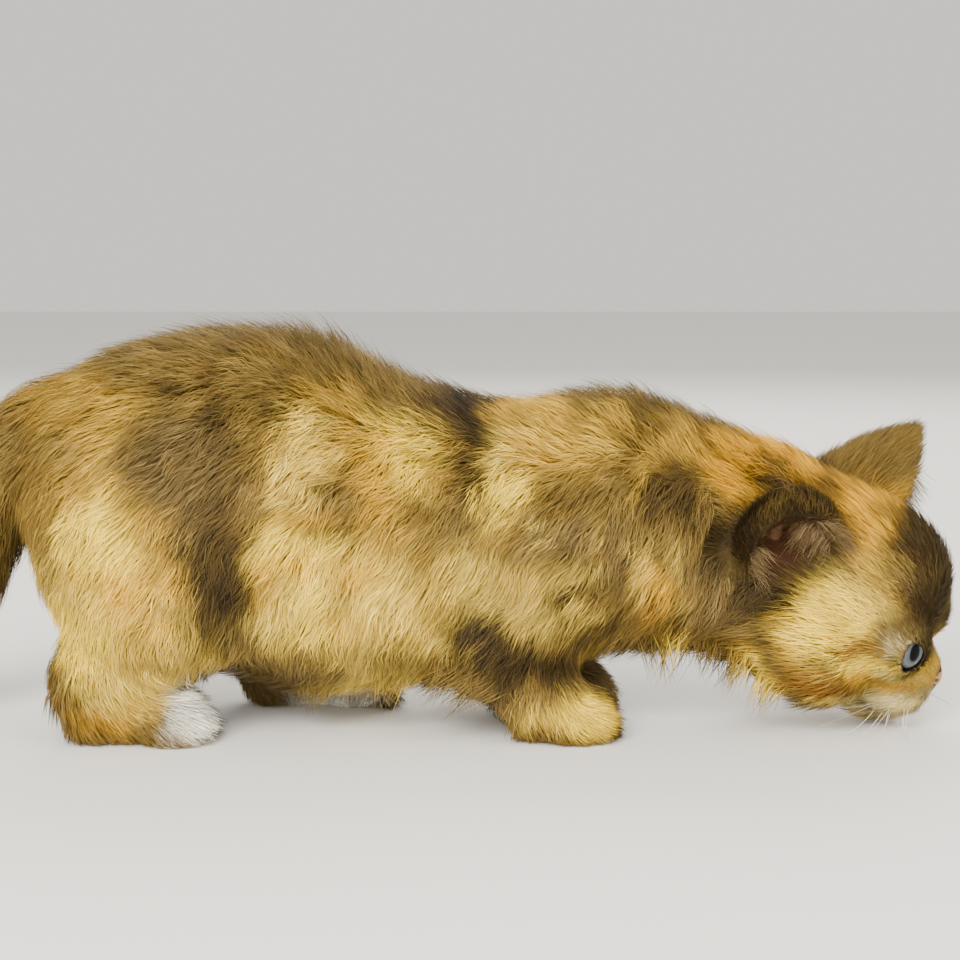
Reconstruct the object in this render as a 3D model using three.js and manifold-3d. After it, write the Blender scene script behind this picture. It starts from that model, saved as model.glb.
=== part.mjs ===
// Munchkin kitten, standing on short legs and sniffing the ground, life size.
// Millimetres. +X is the way the body faces, +Y its left side, +Z up, floor at Z 0.
import * as THREE from "three";
import { mergeVertices } from "three/addons/utils/BufferGeometryUtils.js";
import Module from "manifold-3d";

const wasm = await Module();
wasm.setup();

// Driving dimensions
const GAP = 0.3; // between neighbouring pieces
const CORE = 0.5; // share of the coat's depth that the smooth body takes
const LOCK = { width: 16.5, thickness: 3.6, sunk: 3, apart: 15.2, seed: 3 };
const HEAD = { at: [91.5, -1.2, 34.5], yaw: -18, pitch: 24.5, roll: 14.5, scale: 1.1 };
const EYE = { at: [18.2, 12, 1.6], radius: 7, lid: 0.9, yaw: 38, width: 10.4, height: 8.6 };
const EAR = { height: 30, width: 13, depth: 8.5, wall: 1.5 };
const TOE = { pitch: 4.2, radius: 3.1, length: 7.2, height: 5.4 };
const FAR = 400; // larger than the animal
const FINEST = 0.03; // edges shorter than this are closed up

// Colours
const GOLD = 0xa98a4f;
const OLIVE = 0x7a6a3c;
const BROWN = 0x5d4c2c;
const CREAM = 0xd8c48d;
const WHITE = 0xe8e3d6;
const PINK = 0xcf9d84;
const EYE_BLUE = 0x7b919f;

const vec = (a) => new THREE.Vector3(...a);
const rad = THREE.MathUtils.degToRad;
const mirror = (s) => (p) => [p[0], s * p[1], p[2]];

// Distance fields of soft forms. The coat is added to each by a share of its depth.
function ellipsoid(at, size, coat) {
  return (p, share) => {
    const r = size.map((s) => s + coat * share);
    const q = [(p.x - at[0]) / r[0], (p.y - at[1]) / r[1], (p.z - at[2]) / r[2]];
    const k0 = Math.hypot(...q);
    const k1 = Math.hypot(q[0] / r[0], q[1] / r[1], q[2] / r[2]);
    return k1 < 1e-9 ? -Math.min(...r) : (k0 * (k0 - 1)) / k1;
  };
}

function bone(from, to, r0, r1, coat0, coat1) {
  const a = vec(from);
  const ab = vec(to).sub(a);
  const len2 = ab.lengthSq();
  return (p, share) => {
    const t = THREE.MathUtils.clamp(p.clone().sub(a).dot(ab) / len2, 0, 1);
    const r = r0 + (r1 - r0) * t + share * (coat0 + (coat1 - coat0) * t);
    return p.distanceTo(a.clone().addScaledVector(ab, t)) - r;
  };
}

// Joins fields with a fillet of about k.
function blend(k, ...fields) {
  return (p, share) =>
    fields
      .map((f) => f(p, share))
      .reduce((a, b) => Math.min(a, b) - Math.max(k - Math.abs(a - b), 0) ** 2 / (4 * k));
}

function grown(field, by) {
  return (p, share) => field(p, share) - by;
}

// Where a ray from inside leaves the field's surface.
function surfaceAlong(field, share, origin, direction) {
  const at = (t) => origin.clone().addScaledVector(direction, t);
  let t = 0.5;
  for (let i = 0; i < 80; i++) {
    const d = field(at(t), share);
    t = Math.max(t - 0.7 * d, 0.5);
    if (Math.abs(d) < 0.01) break;
  }
  return at(t);
}

// A closed mesh cast from the line a to b out to the field's surface.
function cast(field, share, a, b, detail) {
  const ball = new THREE.IcosahedronGeometry(1, detail);
  ball.deleteAttribute("normal");
  ball.deleteAttribute("uv");
  const g = mergeVertices(ball, 1e-4);
  const line = vec(b).sub(vec(a));
  const axis = line.length() > 0 ? line.clone().normalize() : vec([1, 0, 0]);
  const spin = new THREE.Quaternion().setFromUnitVectors(vec([1, 0, 0]), axis);
  const pos = g.attributes.position;
  for (let i = 0; i < pos.count; i++) {
    const d = new THREE.Vector3().fromBufferAttribute(pos, i);
    const origin = vec(a).addScaledVector(line, (d.x + 1) / 2);
    const out = surfaceAlong(field, share, origin, d.applyQuaternion(spin));
    pos.setXYZ(i, out.x, out.y, out.z);
  }
  return g;
}

// Solids from closed meshes
function solid(geometry) {
  const g = geometry.index ? geometry.toNonIndexed() : geometry.clone();
  g.deleteAttribute("normal");
  g.deleteAttribute("uv");
  const m = mergeVertices(g, 1e-4);
  return new wasm.Manifold(
    new wasm.Mesh({
      numProp: 3,
      vertProperties: m.attributes.position.array,
      triVerts: new Uint32Array(m.index.array),
    }),
  );
}

const join = (parts) => parts.reduce((a, b) => a.add(b));
function joinAll(parts) {
  if (parts.length < 3) return join(parts);
  const half = parts.length >> 1;
  return joinAll(parts.slice(0, half)).add(joinAll(parts.slice(half)));
}
const largest = (s) => s.decompose().sort((a, b) => b.volume() - a.volume())[0];

// A block of space with its outer face through a point, square to a direction.
function block(point, normal, inset = 0) {
  const n = vec(normal).normalize();
  const box = new THREE.BoxGeometry(2 * FAR, 2 * FAR, 2 * FAR);
  box.translate(0, 0, -FAR);
  box.applyQuaternion(new THREE.Quaternion().setFromUnitVectors(vec([0, 0, 1]), n));
  const at = vec(point).addScaledVector(n, -inset);
  box.translate(at.x, at.y, at.z);
  return solid(box);
}

// The space common to several blocks, shrunk by an inset on each face.
function region(planes, inset) {
  return planes.map(([p, n]) => block(p, n, inset)).reduce((a, b) => a.intersect(b));
}

// A closed strip with a three-sided section along a bent line, to a point at its end.
function strip(line, across, up, widths, heights) {
  const pts = [];
  const last = line.length - 1;
  for (let i = 0; i < last; i++) {
    const a = across[i].clone().multiplyScalar(widths[i] / 2);
    const p = line[i];
    pts.push(p.clone().add(a), p.clone().addScaledVector(up[i], heights[i]), p.clone().sub(a));
  }
  pts.push(line[last]);
  const faces = [2, 1, 0];
  for (let i = 0; i < last; i++) {
    for (let j = 0; j < 3; j++) {
      const [a, b] = [3 * i + j, 3 * i + ((j + 1) % 3)];
      if (i + 1 < last) faces.push(a, b, b + 3, a, b + 3, a + 3);
      else faces.push(a, b, 3 * last);
    }
  }
  const g = new THREE.BufferGeometry();
  const xyz = pts.flatMap((p) => [p.x, p.y, p.z]);
  g.setAttribute("position", new THREE.BufferAttribute(new Float32Array(xyz), 3));
  g.setIndex(faces);
  return g;
}

// Torso
const torsoField = blend(
  12,
  ellipsoid([-87, 0, 64], [23, 24, 24], 11),
  ellipsoid([-62, 0, 62], [36, 29, 30], 12.5),
  ellipsoid([-38, 0, 50], [40, 30, 29], 10.5),
  ellipsoid([-2, 0, 50], [38, 24, 26], 10),
  ellipsoid([28, 0, 52], [22, 20, 22], 11),
);
const torso = solid(cast(torsoField, CORE, [-84, 0, 60], [24, 0, 52], 3));

// Neck
const NECK = [[34, 0, 57], [67, 0, 49]];
const neckField = bone(...NECK, 19, 17, 12, 12);
const neck = solid(cast(neckField, CORE, ...NECK, 2));

// Tail, hanging behind with its end just clear of the floor
const TAIL = [
  { at: [-112, 0, 78], skin: 6.5, coat: 8 },
  { at: [-125, 0, 66], skin: 5.2, coat: 8 },
  { at: [-133, 0, 50], skin: 4.6, coat: 8.5 },
  { at: [-139, 1, 35], skin: 4, coat: 8.5 },
  { at: [-148, 2, 23], skin: 3.4, coat: 8 },
  { at: [-162, 3, 17], skin: 2.6, coat: 4.5 },
];
const tailBones = TAIL.slice(1).map((to, i) => ({ from: TAIL[i], to }));
const tailFields = tailBones.map(({ from, to }) =>
  bone(from.at, to.at, from.skin, to.skin, from.coat, to.coat),
);
const tail = join(
  tailBones.map(({ from, to }, i) => solid(cast(tailFields[i], CORE, from.at, to.at, 1))),
);

// Paws: four toes spread from the ball of the foot, which rests on the floor
function toes(ball, reach) {
  const spread = [-1.5, -0.5, 0.5, 1.5].map((i) => {
    const toe = new THREE.SphereGeometry(1, 7, 5);
    toe.scale(TOE.length, TOE.radius, TOE.height);
    toe.rotateZ(rad(i * 7));
    toe.translate(ball[0] + reach - 1.3 * Math.abs(i), ball[1] + i * TOE.pitch, TOE.height - 0.7);
    return solid(toe);
  });
  return join(spread);
}

// Hind legs. s is 1 on the left and -1 on the right.
function hindLeg(s, { hip, knee, hock, ball }) {
  const [h, k, o, b] = [hip, knee, hock, ball].map(mirror(s));
  const ham = [(h[0] + o[0]) / 2, (h[1] + k[1]) / 2, (h[2] + k[2]) / 2];
  const thigh = blend(10, bone(h, k, 17, 12, 9, 7), ellipsoid(ham, [15, 9, 18], 7));
  const shank = bone(k, o, 10.5, 6.6, 7, 4.5);
  const heel = [o[0], o[1], b[2]];
  const foot = blend(4, bone(o, b, 6, 5, 4.5, 2), bone(heel, b, 5, 5, 2.2, 2.2));
  const shape = join([
    solid(cast(thigh, CORE, h, k, 2)),
    solid(cast(shank, CORE, k, o, 1)),
    solid(cast(foot, 1, [o[0], o[1], 10], b, 2)),
    toes(b, 5.5),
  ]);
  return { shape, fields: [thigh, shank, foot], coats: [[thigh, h, k], [shank, k, o]] };
}
const HIND = {
  right: { hip: [-86, 13, 58], knee: [-78, 22, 34], hock: [-98, 23, 17], ball: [-80, 22, 6.8] },
  left: { hip: [-84, 13, 58], knee: [-62, 21, 40], hock: [-58, 23, 16], ball: [-36, 24, 6.8] },
};

// Forelegs
function foreLeg(s, { shoulder, elbow, wrist, ball }) {
  const [h, e, w, b] = [shoulder, elbow, wrist, ball].map(mirror(s));
  const arm = blend(8, bone(h, e, 12, 9, 8, 6.5), bone(e, w, 8.6, 6.4, 6.5, 3.6));
  const foot = blend(4, bone(w, b, 6, 5.2, 3.6, 2), bone([w[0], w[1], b[2]], b, 5, 5.2, 2, 2));
  const shape = join([
    solid(cast(arm, CORE, h, e, 2)),
    solid(cast(bone(e, w, 8.6, 6.4, 6.5, 3.6), CORE, e, w, 2)),
    solid(cast(foot, 1, w, b, 2)),
    toes(b, 5),
  ]);
  return { shape, fields: [arm, foot], coats: [[arm, h, e]] };
}
const FORE = {
  right: { shoulder: [26, 13, 50], elbow: [6, 18, 26], wrist: [14, 20, 13], ball: [23, 20, 6.8] },
  left: { shoulder: [26, 13, 50], elbow: [7, 18, 26], wrist: [15, 20, 13], ball: [24, 20, 6.8] },
};

// Head, in its own frame: x forward, y left, z up, from the middle of the skull
const turn = (axis, angle) => new THREE.Quaternion().setFromAxisAngle(vec(axis), rad(angle));
const headTurn = turn([0, 0, 1], HEAD.yaw)
  .multiply(turn([0, 1, 0], HEAD.pitch))
  .multiply(turn([1, 0, 0], HEAD.roll));
const headPlace = new THREE.Matrix4().compose(
  vec(HEAD.at),
  headTurn,
  new THREE.Vector3(1, 1, 1).multiplyScalar(HEAD.scale),
);
const inHead = (g) => g.applyMatrix4(headPlace);
const headField = blend(
  5,
  ellipsoid([-7, 0, 3], [24, 22, 20], 5),
  ellipsoid([5, 0, 6], [18.5, 18, 16], 3.5),
  ellipsoid([4, -13, -7], [13, 10, 11], 4.5),
  ellipsoid([4, 13, -7], [13, 10, 11], 4.5),
  ellipsoid([19.5, 0, -8], [10, 9, 7.5], 2),
  ellipsoid([23, -4.8, -11], [6.6, 5.6, 5], 1.4),
  ellipsoid([23, 4.8, -11], [6.6, 5.6, 5], 1.4),
  bone([13, 0, 4], [27, 0, -5], 7.5, 3.4, 2, 0.8),
  ellipsoid([19, 0, -16.5], [7.5, 6.5, 4.6], 1.6),
);
const HEAD_LINE = [[-7, 0, 1], [14, 0, -3]];
const skull = cast(headField, 1, ...HEAD_LINE, 6);

// Nose leather: a rounded wedge, wide above, with a nostril at each side
const NOSE = [31, 0, -5.6];
const noseField = blend(
  1.6,
  ellipsoid([NOSE[0], -2, NOSE[2] + 0.6], [2.2, 2.6, 2], 0),
  ellipsoid([NOSE[0], 2, NOSE[2] + 0.6], [2.2, 2.6, 2], 0),
  ellipsoid([NOSE[0] + 0.3, 0, NOSE[2] - 0.8], [2.2, 1.8, 2.4], 0),
);
const nosePocket = solid(inHead(cast(grown(noseField, 1.3 * GAP), 0, NOSE, NOSE, 2)));
const nostrils = [-1, 1].map((s) => {
  const g = new THREE.SphereGeometry(1, 6, 4);
  g.scale(1.6, 1, 0.75);
  g.rotateX(rad(s * 35));
  g.translate(NOSE[0] + 2, s * 2.4, NOSE[2] + 0.2);
  return solid(inHead(g));
});
const nose = solid(inHead(cast(noseField, 0, NOSE, NOSE, 2))).subtract(join(nostrils));

// Line of the mouth: a groove from under the nose, then below the lip pads to each cheek
function groove(line, width, depth) {
  const pts = line.map(vec);
  const mid = new THREE.Vector3(12, 0, -9);
  const out = pts.map((p) => p.clone().sub(mid).normalize());
  const across = pts.map((p, i) => {
    const along = pts[Math.min(i + 1, pts.length - 1)].clone().sub(pts[Math.max(i - 1, 0)]);
    return along.cross(out[i]).normalize();
  });
  const roof = pts.map((p, i) => p.clone().addScaledVector(out[i], 2));
  const deep = out.map((n) => n.clone().negate());
  return solid(inHead(strip(roof, across, deep, pts.map(() => width), pts.map(() => depth + 2))));
}
const onFace = (direction, from = [18, 0, -10]) =>
  surfaceAlong(headField, 1, vec(from), vec(direction).normalize()).toArray();
const mouthSide = (s) =>
  [[1, 0, -0.42], [1, 0.25 * s, -0.55], [0.9, 0.6 * s, -0.62], [0.5, 0.9 * s, -0.6], [0.1, s, -0.5]];
const philtrum = groove([[1, 0, 0.12], [1, 0, -0.2], [1, 0, -0.5]].map((d) => onFace(d)), 1.1, 1);
const mouth = [philtrum, ...[-1, 1].map((s) => groove(mouthSide(s).map((d) => onFace(d)), 1.4, 1.3))];

// Eyes, each a ball behind lids that leave an almond open
function eye(s) {
  const place = new THREE.Matrix4().makeTranslation(EYE.at[0], s * EYE.at[1], EYE.at[2]);
  place.multiply(new THREE.Matrix4().makeRotationZ(rad(s * EYE.yaw)));
  const ballOf = (radius) =>
    solid(inHead(new THREE.SphereGeometry(radius, 12, 8).applyMatrix4(place)));
  const [w, h] = [EYE.width / 2, EYE.height / 2];
  const almond = new THREE.Shape();
  almond.moveTo(-w, -0.6 * s);
  almond.bezierCurveTo(-w * 0.5, h * 1.25, w * 0.5, h * 1.25, w, 0.6 * s);
  almond.bezierCurveTo(w * 0.5, -h * 1.15, -w * 0.5, -h * 1.15, -w, -0.6 * s);
  const slot = new THREE.ExtrudeGeometry(almond, {
    depth: 12,
    bevelEnabled: false,
    curveSegments: 4,
  });
  slot.rotateX(rad(90));
  slot.rotateZ(rad(90));
  return {
    ball: ballOf(EYE.radius),
    socket: ballOf(EYE.radius + GAP),
    lid: ballOf(EYE.radius + GAP + EYE.lid),
    slot: solid(inHead(slot.applyMatrix4(place))),
  };
}
const EYES = { right: eye(-1), left: eye(1) };

// Ears: a tapering shell, its cup open to the front and side
function earLoft(width, depth, height, rings, sides) {
  const pts = [];
  for (let i = 0; i < rings; i++) {
    const t = i / rings;
    const w = width * (1 - t ** 2.2) ** 0.75;
    const d = depth * (1 - t ** 1.5) ** 0.8;
    for (let j = 0; j < sides; j++) {
      const a = (2 * Math.PI * j) / sides;
      pts.push(d * Math.cos(a), w * Math.sin(a), height * t);
    }
  }
  pts.push(0, 0, height, 0, 0, 0);
  const tip = rings * sides;
  const last = tip - sides;
  const faces = [];
  for (let j = 0; j < sides; j++) {
    const k = (j + 1) % sides;
    for (let i = 0; i + 1 < rings; i++) {
      const [a, b] = [i * sides + j, i * sides + k];
      faces.push(a, b, b + sides, a, b + sides, a + sides);
    }
    faces.push(last + j, last + k, tip, k, j, tip + 1);
  }
  const g = new THREE.BufferGeometry();
  g.setAttribute("position", new THREE.BufferAttribute(new Float32Array(pts), 3));
  g.setIndex(faces);
  return g;
}
function ear(s, base, lean, splay, facing) {
  const outer = earLoft(EAR.width, EAR.depth, EAR.height, 5, 14);
  const cup = EAR.height - 2 * EAR.wall;
  const inner = earLoft(EAR.width - EAR.wall, EAR.depth, cup, 5, 14);
  const around = earLoft(EAR.width + GAP, EAR.depth + GAP, EAR.height + GAP, 5, 14);
  inner.translate(EAR.depth * 0.55, 0, 1);
  const place = new THREE.Matrix4()
    .makeTranslation(base[0], s * base[1], base[2])
    .multiply(new THREE.Matrix4().makeRotationX(rad(-s * splay)))
    .multiply(new THREE.Matrix4().makeRotationY(rad(lean)))
    .multiply(new THREE.Matrix4().makeRotationZ(rad(s * facing)));
  const [shell, hollow, room] = [outer, inner, around].map((g) =>
    solid(inHead(g.applyMatrix4(place))),
  );
  return { shape: shell.subtract(hollow), room };
}
const EARS = { right: ear(-1, [-11, 16, 12], -6, 40, 50), left: ear(1, [-8, 16, 12], 16, 32, 55) };
const EAR_BASES = [[-11, -17, 15], [-8, 17, 15]];

// Planes that part the body: a point, and the direction out of the space kept
const FLOOR = [[0, 0, 0], [0, 0, -1]];
const NECK_HEAD = [
  vec([-20, 0, 0]).applyMatrix4(headPlace).toArray(),
  vec([1, 0, 0]).applyQuaternion(headTurn).toArray(),
];
const TORSO_NECK = [[43, 0, 56], [0.97, 0, 0.24]];
const TORSO_TAIL = [[-116, 0, 72], [-1, 0, 0.12]];
const TAIL_TIP = [TAIL[3].at, [-0.45, 0, -0.9]];
const flip = ([p, n]) => [p, n.map((v) => -v)];
const foreWindow = (s) => [
  [[0, s * 33, 46], [0, -s * 0.7, 0.7]],
  [[-16, 0, 0], [-1, 0, 0]],
  [[42, 0, 0], [1, 0, 0.3]],
  [[0, s * 3, 0], [0, -s, 0]],
];
const hindWindow = (s) => [
  [[0, s * 38, 64], [0, -s * 0.8, 0.6]],
  [[-117, 0, 50], [-1, 0, -0.3]],
  [[s > 0 ? -26 : -56, 0, 0], [1, 0, 0]],
  [[0, s * 3, 0], [0, -s, 0]],
];
const LEGS = {
  hind_right: { ...hindLeg(-1, HIND.right), window: hindWindow(-1), ankle: 18, colour: GOLD, paw: WHITE },
  hind_left: { ...hindLeg(1, HIND.left), window: hindWindow(1), ankle: 17, colour: GOLD, paw: WHITE },
  fore_right: { ...foreLeg(-1, FORE.right), window: foreWindow(-1), ankle: 15, colour: OLIVE, paw: CREAM },
  fore_left: { ...foreLeg(1, FORE.left), window: foreWindow(1), ankle: 15, colour: OLIVE, paw: CREAM },
};
const inside = (plane, shape) => shape.intersect(block(...plane, GAP / 2));

const inHeadAt = (p) => vec(p).applyMatrix4(headPlace).toArray();
const inHeadWay = (d) => vec(d).applyQuaternion(headTurn).toArray();

// Which way the coat lies, and how long its locks are, at places on the body. Those off the
// middle plane count for both sides.
const LIE = [
  { at: [-116, 0, 94], lie: [-0.7, 0, -0.7], long: 25 },
  { at: [-90, 0, 103], lie: [-0.95, 0, -0.2], long: 28 },
  { at: [-55, 0, 105], lie: [-1, 0, 0.05], long: 28 },
  { at: [-15, 0, 94], lie: [-1, 0, 0.2], long: 28 },
  { at: [20, 0, 88], lie: [-1, 0, 0.1], long: 28 },
  { at: [50, 0, 82], lie: [-0.9, 0, 0.3], long: 26 },
  { at: [78, 0, 72], lie: [-1, 0, 0.2], long: 20 },
  { at: [-105, 34, 72], lie: [-0.6, 0, -0.8], long: 28 },
  { at: [-60, 40, 72], lie: [-0.75, 0, -0.65], long: 30 },
  { at: [-50, 38, 40], lie: [-0.5, 0, -0.87], long: 29 },
  { at: [-10, 34, 66], lie: [-0.65, 0, -0.76], long: 30 },
  { at: [-10, 32, 36], lie: [-0.45, 0, -0.9], long: 28 },
  { at: [30, 30, 62], lie: [-0.6, 0, -0.8], long: 28 },
  { at: [28, 28, 34], lie: [-0.6, 0, -0.8], long: 22 },
  { at: [58, 26, 52], lie: [-0.45, 0, -0.9], long: 26 },
  { at: [58, 12, 26], lie: [-0.4, 0, -0.9], long: 20 },
  { at: [-30, 0, 10], lie: [-1, 0, -0.1], long: 22 },
  { at: [-35, 22, 16], lie: [-0.6, 0, -0.8], long: 22 },
  { at: [25, 0, 20], lie: [-0.9, 0, -0.3], long: 20 },
  { at: [-88, 36, 46], lie: [-0.5, 0, -0.86], long: 25 },
  { at: [-78, 30, 26], lie: [-0.5, 0, -0.86], long: 17 },
  { at: [-108, 22, 26], lie: [-0.3, 0, -0.95], long: 16 },
  { at: [2, 26, 26], lie: [-0.75, 0, -0.65], long: 18 },
  { at: [16, 26, 18], lie: [-0.4, 0, -0.9], long: 11 },
  ...[-1, 1].flatMap((s) => [
    { at: inHeadAt([0, s * 24, -8]), lie: inHeadWay([-0.9, 0, -0.5]), long: 13 },
    { at: inHeadAt([-4, s * 14, -20]), lie: inHeadWay([-0.8, 0, -0.6]), long: 13 },
    { at: inHeadAt([-16, s * 6, 22]), lie: inHeadWay([-1, 0, 0]), long: 13 },
  ]),
  ...tailBones.map(({ from, to }) => ({
    at: from.at,
    lie: vec(to.at).sub(vec(from.at)).toArray(),
    long: 25,
  })),
];
function coatAt(p) {
  const lie = new THREE.Vector3();
  let long = 0;
  let sum = 0;
  for (const c of LIE) {
    for (const s of c.at[1] ? [-1, 1] : [1]) {
      const w = (p.distanceToSquared(vec(mirror(s)(c.at))) + 25) ** -2;
      lie.addScaledVector(vec(mirror(s)(c.lie)).normalize(), w);
      long += w * c.long;
      sum += w;
    }
  }
  return { lie: lie.normalize(), long: long / sum };
}

// The whole animal's surface, for locks to hug
const inverseHead = headPlace.clone().invert();
const headInBody = (p, share) => headField(p.clone().applyMatrix4(inverseHead), share) * HEAD.scale;
const wholeField = blend(
  6,
  torsoField,
  neckField,
  headInBody,
  ...tailFields,
  ...Object.values(LEGS).flatMap((leg) => leg.fields),
);
function outward(p, share) {
  const slope = [[1, 0, 0], [0, 1, 0], [0, 0, 1]].map(vec).map((d) => {
    const ahead = wholeField(p.clone().addScaledVector(d, 0.3), share);
    return ahead - wholeField(p.clone().addScaledVector(d, -0.3), share);
  });
  return vec(slope).normalize();
}
function settle(p, share, below = 0) {
  for (let i = 0; i < 3; i++) {
    p.addScaledVector(outward(p, share), -(wholeField(p, share) + below));
  }
  return p;
}

// Repeatable random numbers from 0 to 1
let state = LOCK.seed;
function random() {
  state = (state * 1664525 + 1013904223) % 4294967296;
  return state / 4294967296;
}

// One lock: a flat blade from its root below the body's surface, over its neighbours, to a
// tip that just leaves the coat. It keeps to the lie and bends a little to one side.
function lock(root) {
  const p = settle(root.clone(), CORE, LOCK.sunk);
  const { long } = coatAt(root);
  const size = (0.85 + 0.3 * random()) * Math.min(1, 0.4 + long / 46);
  const bend = rad(24 * (random() - 0.5));
  const line = [];
  const across = [];
  const up = [];
  const heights = [1, 0.9, 0.75, 0].map((h) => h * LOCK.thickness * size);
  const widths = [0.8, 1, 0.8, 0].map((w) => w * LOCK.width * size);
  [CORE, 0.78, 0.98, 1.08].forEach((share, i) => {
    const n = outward(p, share);
    const lie = coatAt(p).lie.addScaledVector(n, -coatAt(p).lie.dot(n)).normalize();
    lie.applyAxisAngle(n, bend * (i - 1));
    if (i > 0) {
      p.addScaledVector(lie, 0.36 * long * (0.8 + 0.25 * size));
      settle(p, share);
    }
    line.push(p.clone().addScaledVector(n, -heights[i] / 2));
    across.push(new THREE.Vector3().crossVectors(n, lie).normalize());
    up.push(n);
  });
  return solid(strip(line, across, up, widths, heights));
}

// Roots spread evenly over each part of the body that has a long coat
function roots([field, a, b]) {
  const kept = [];
  const line = vec(b).sub(vec(a));
  const turned = new THREE.Quaternion().setFromUnitVectors(vec([1, 0, 0]), line.clone().normalize());
  for (let i = 0; i < 1200; i++) {
    const d = new THREE.Vector3(2 * random() - 1, 0, 0);
    const angle = 2 * Math.PI * random();
    const ring = Math.sqrt(1 - d.x * d.x);
    d.set(d.x, ring * Math.cos(angle), ring * Math.sin(angle));
    const origin = vec(a).addScaledVector(line, (d.x + 1) / 2);
    kept.push(surfaceAlong(field, CORE, origin, d.applyQuaternion(turned)));
  }
  return kept;
}
const COATS = [
  [torsoField, [-84, 0, 60], [24, 0, 52]],
  [neckField, ...NECK],
  ...tailBones.map(({ from, to }, i) => [tailFields[i], from.at, to.at]),
  ...Object.values(LEGS).flatMap((leg) => leg.coats),
  [headInBody, ...HEAD_LINE.map((p) => vec(p).applyMatrix4(headPlace).toArray())],
];
// Short fur covers the feet and the face; the ears rise clear of the long coat.
function bare(p) {
  const q = p.clone().applyMatrix4(inverseHead);
  const face = q.x > (q.z < 0 ? 1 : -13);
  const byEar = EAR_BASES.some((base) => q.distanceTo(vec(base)) < 13);
  const onFoot = p.z < (Math.abs(p.y) > 14 ? 18 : 9);
  return onFoot || (q.length() < 40 && (face || byEar));
}
const seats = [];
for (const p of COATS.flatMap(roots)) {
  const crowded = seats.some((q) => q.distanceTo(p) < LOCK.apart * (0.8 + coatAt(p).long / 140));
  if (!bare(p) && !crowded && wholeField(p, CORE) > -3.5) seats.push(p);
}
const locks = seats.map(lock);

// Sockets, mouth and nose pocket are cut from the head
const cuts = [...mouth, nosePocket];
for (const { socket, slot } of Object.values(EYES)) cuts.push(socket, slot);
const lids = EYES.right.lid.add(EYES.left.lid);
const earRoom = join([
  solid(inHead(cast(grown(headField, GAP / HEAD.scale), 1, ...HEAD_LINE, 6))),
  solid(cast(grown(neckField, GAP), CORE, ...NECK, 3)),
]);

// Closes up the very short edges that joining leaves, wherever the surface stays whole.
function withoutShortEdges(mesh) {
  const at = (i) => vec(mesh.vertProperties.subarray(3 * i, 3 * i + 3));
  const faces = [];
  for (let i = 0; i < mesh.triVerts.length; i += 3) faces.push([...mesh.triVerts.slice(i, i + 3)]);
  const around = Array.from({ length: mesh.numVert }, () => new Set());
  for (const face of faces) face.forEach((i) => around[i].add(face));
  const ring = (i) => new Set([...around[i]].flat());
  for (const face of faces) {
    for (const [j, k] of [[0, 1], [1, 2], [2, 0]]) {
      const [a, b] = [face[j], face[k]];
      if (!around[a].has(face) || at(a).distanceTo(at(b)) > FINEST) continue;
      const shared = [...ring(a)].filter((i) => ring(b).has(i));
      if (shared.length !== 4) continue;
      for (const f of around[b]) {
        if (around[a].has(f)) f.forEach((i) => around[i].delete(f));
        else {
          f[f.indexOf(b)] = a;
          around[a].add(f);
        }
      }
      around[b].clear();
    }
  }
  return faces.filter((face) => around[face[0]].has(face)).flat();
}

// Each piece as a mesh with its own material
const cat = new THREE.Group();
function place(name, shape, colour, roughness = 0.9) {
  const m = largest(shape).getMesh();
  const g = new THREE.BufferGeometry();
  g.setAttribute("position", new THREE.BufferAttribute(new Float32Array(m.vertProperties), 3));
  g.setIndex(withoutShortEdges(m));
  const flat = g.toNonIndexed();
  flat.computeVertexNormals();
  const material = new THREE.MeshStandardMaterial({ color: colour, roughness, metalness: 0 });
  const mesh = new THREE.Mesh(flat, material);
  mesh.name = name;
  cat.add(mesh);
}

const limbs = join(Object.values(LEGS).map((leg) => leg.shape));
const skullSolid = solid(inHead(skull));
const smooth = join([torso, neck, tail, limbs, skullSolid]);
const coat = joinAll(locks).subtract(EARS.right.room).subtract(EARS.left.room);
const body = smooth.add(coat).intersect(block(...FLOOR));
let trunk = body;
for (const [name, leg] of Object.entries(LEGS)) {
  const limb = body.intersect(region(leg.window, GAP / 2));
  const ankle = [[0, 0, leg.ankle], [0, 0, 1]];
  place(name + "_leg", inside(flip(ankle), limb), leg.colour);
  place(name + "_paw", inside(ankle, limb), leg.paw);
  trunk = trunk.subtract(region(leg.window, -GAP / 2));
}
place("torso", inside(TORSO_TAIL, inside(TORSO_NECK, trunk)), GOLD);
place("neck", inside(NECK_HEAD, inside(flip(TORSO_NECK), trunk)), OLIVE);
place("tail_base", inside(TAIL_TIP, inside(flip(TORSO_TAIL), trunk)), OLIVE);
place("tail_tip", inside(flip(TAIL_TIP), inside(flip(TORSO_TAIL), trunk)), BROWN);
const head = inside(flip(NECK_HEAD), trunk).add(lids);
place("head", cuts.reduce((a, b) => a.subtract(b), head), OLIVE);
place("nose", nose, PINK, 0.6);
for (const key of ["right", "left"]) {
  place("eye_" + key, EYES[key].ball, EYE_BLUE, 0.15);
  place("ear_" + key, EARS[key].shape.subtract(earRoom), BROWN);
}

// Stand the cat on the floor with its middle over the origin
const bounds = new THREE.Box3().setFromObject(cat);
const middle = bounds.getCenter(new THREE.Vector3());
for (const mesh of cat.children) mesh.geometry.translate(-middle.x, -middle.y, -bounds.min.z);
export default cat;
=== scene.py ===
"""The looks of a short-legged kitten that sniffs the ground, as a still, life-size model."""
import math

import bpy
import numpy as np
from mathutils import Matrix, Vector, kdtree


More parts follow.
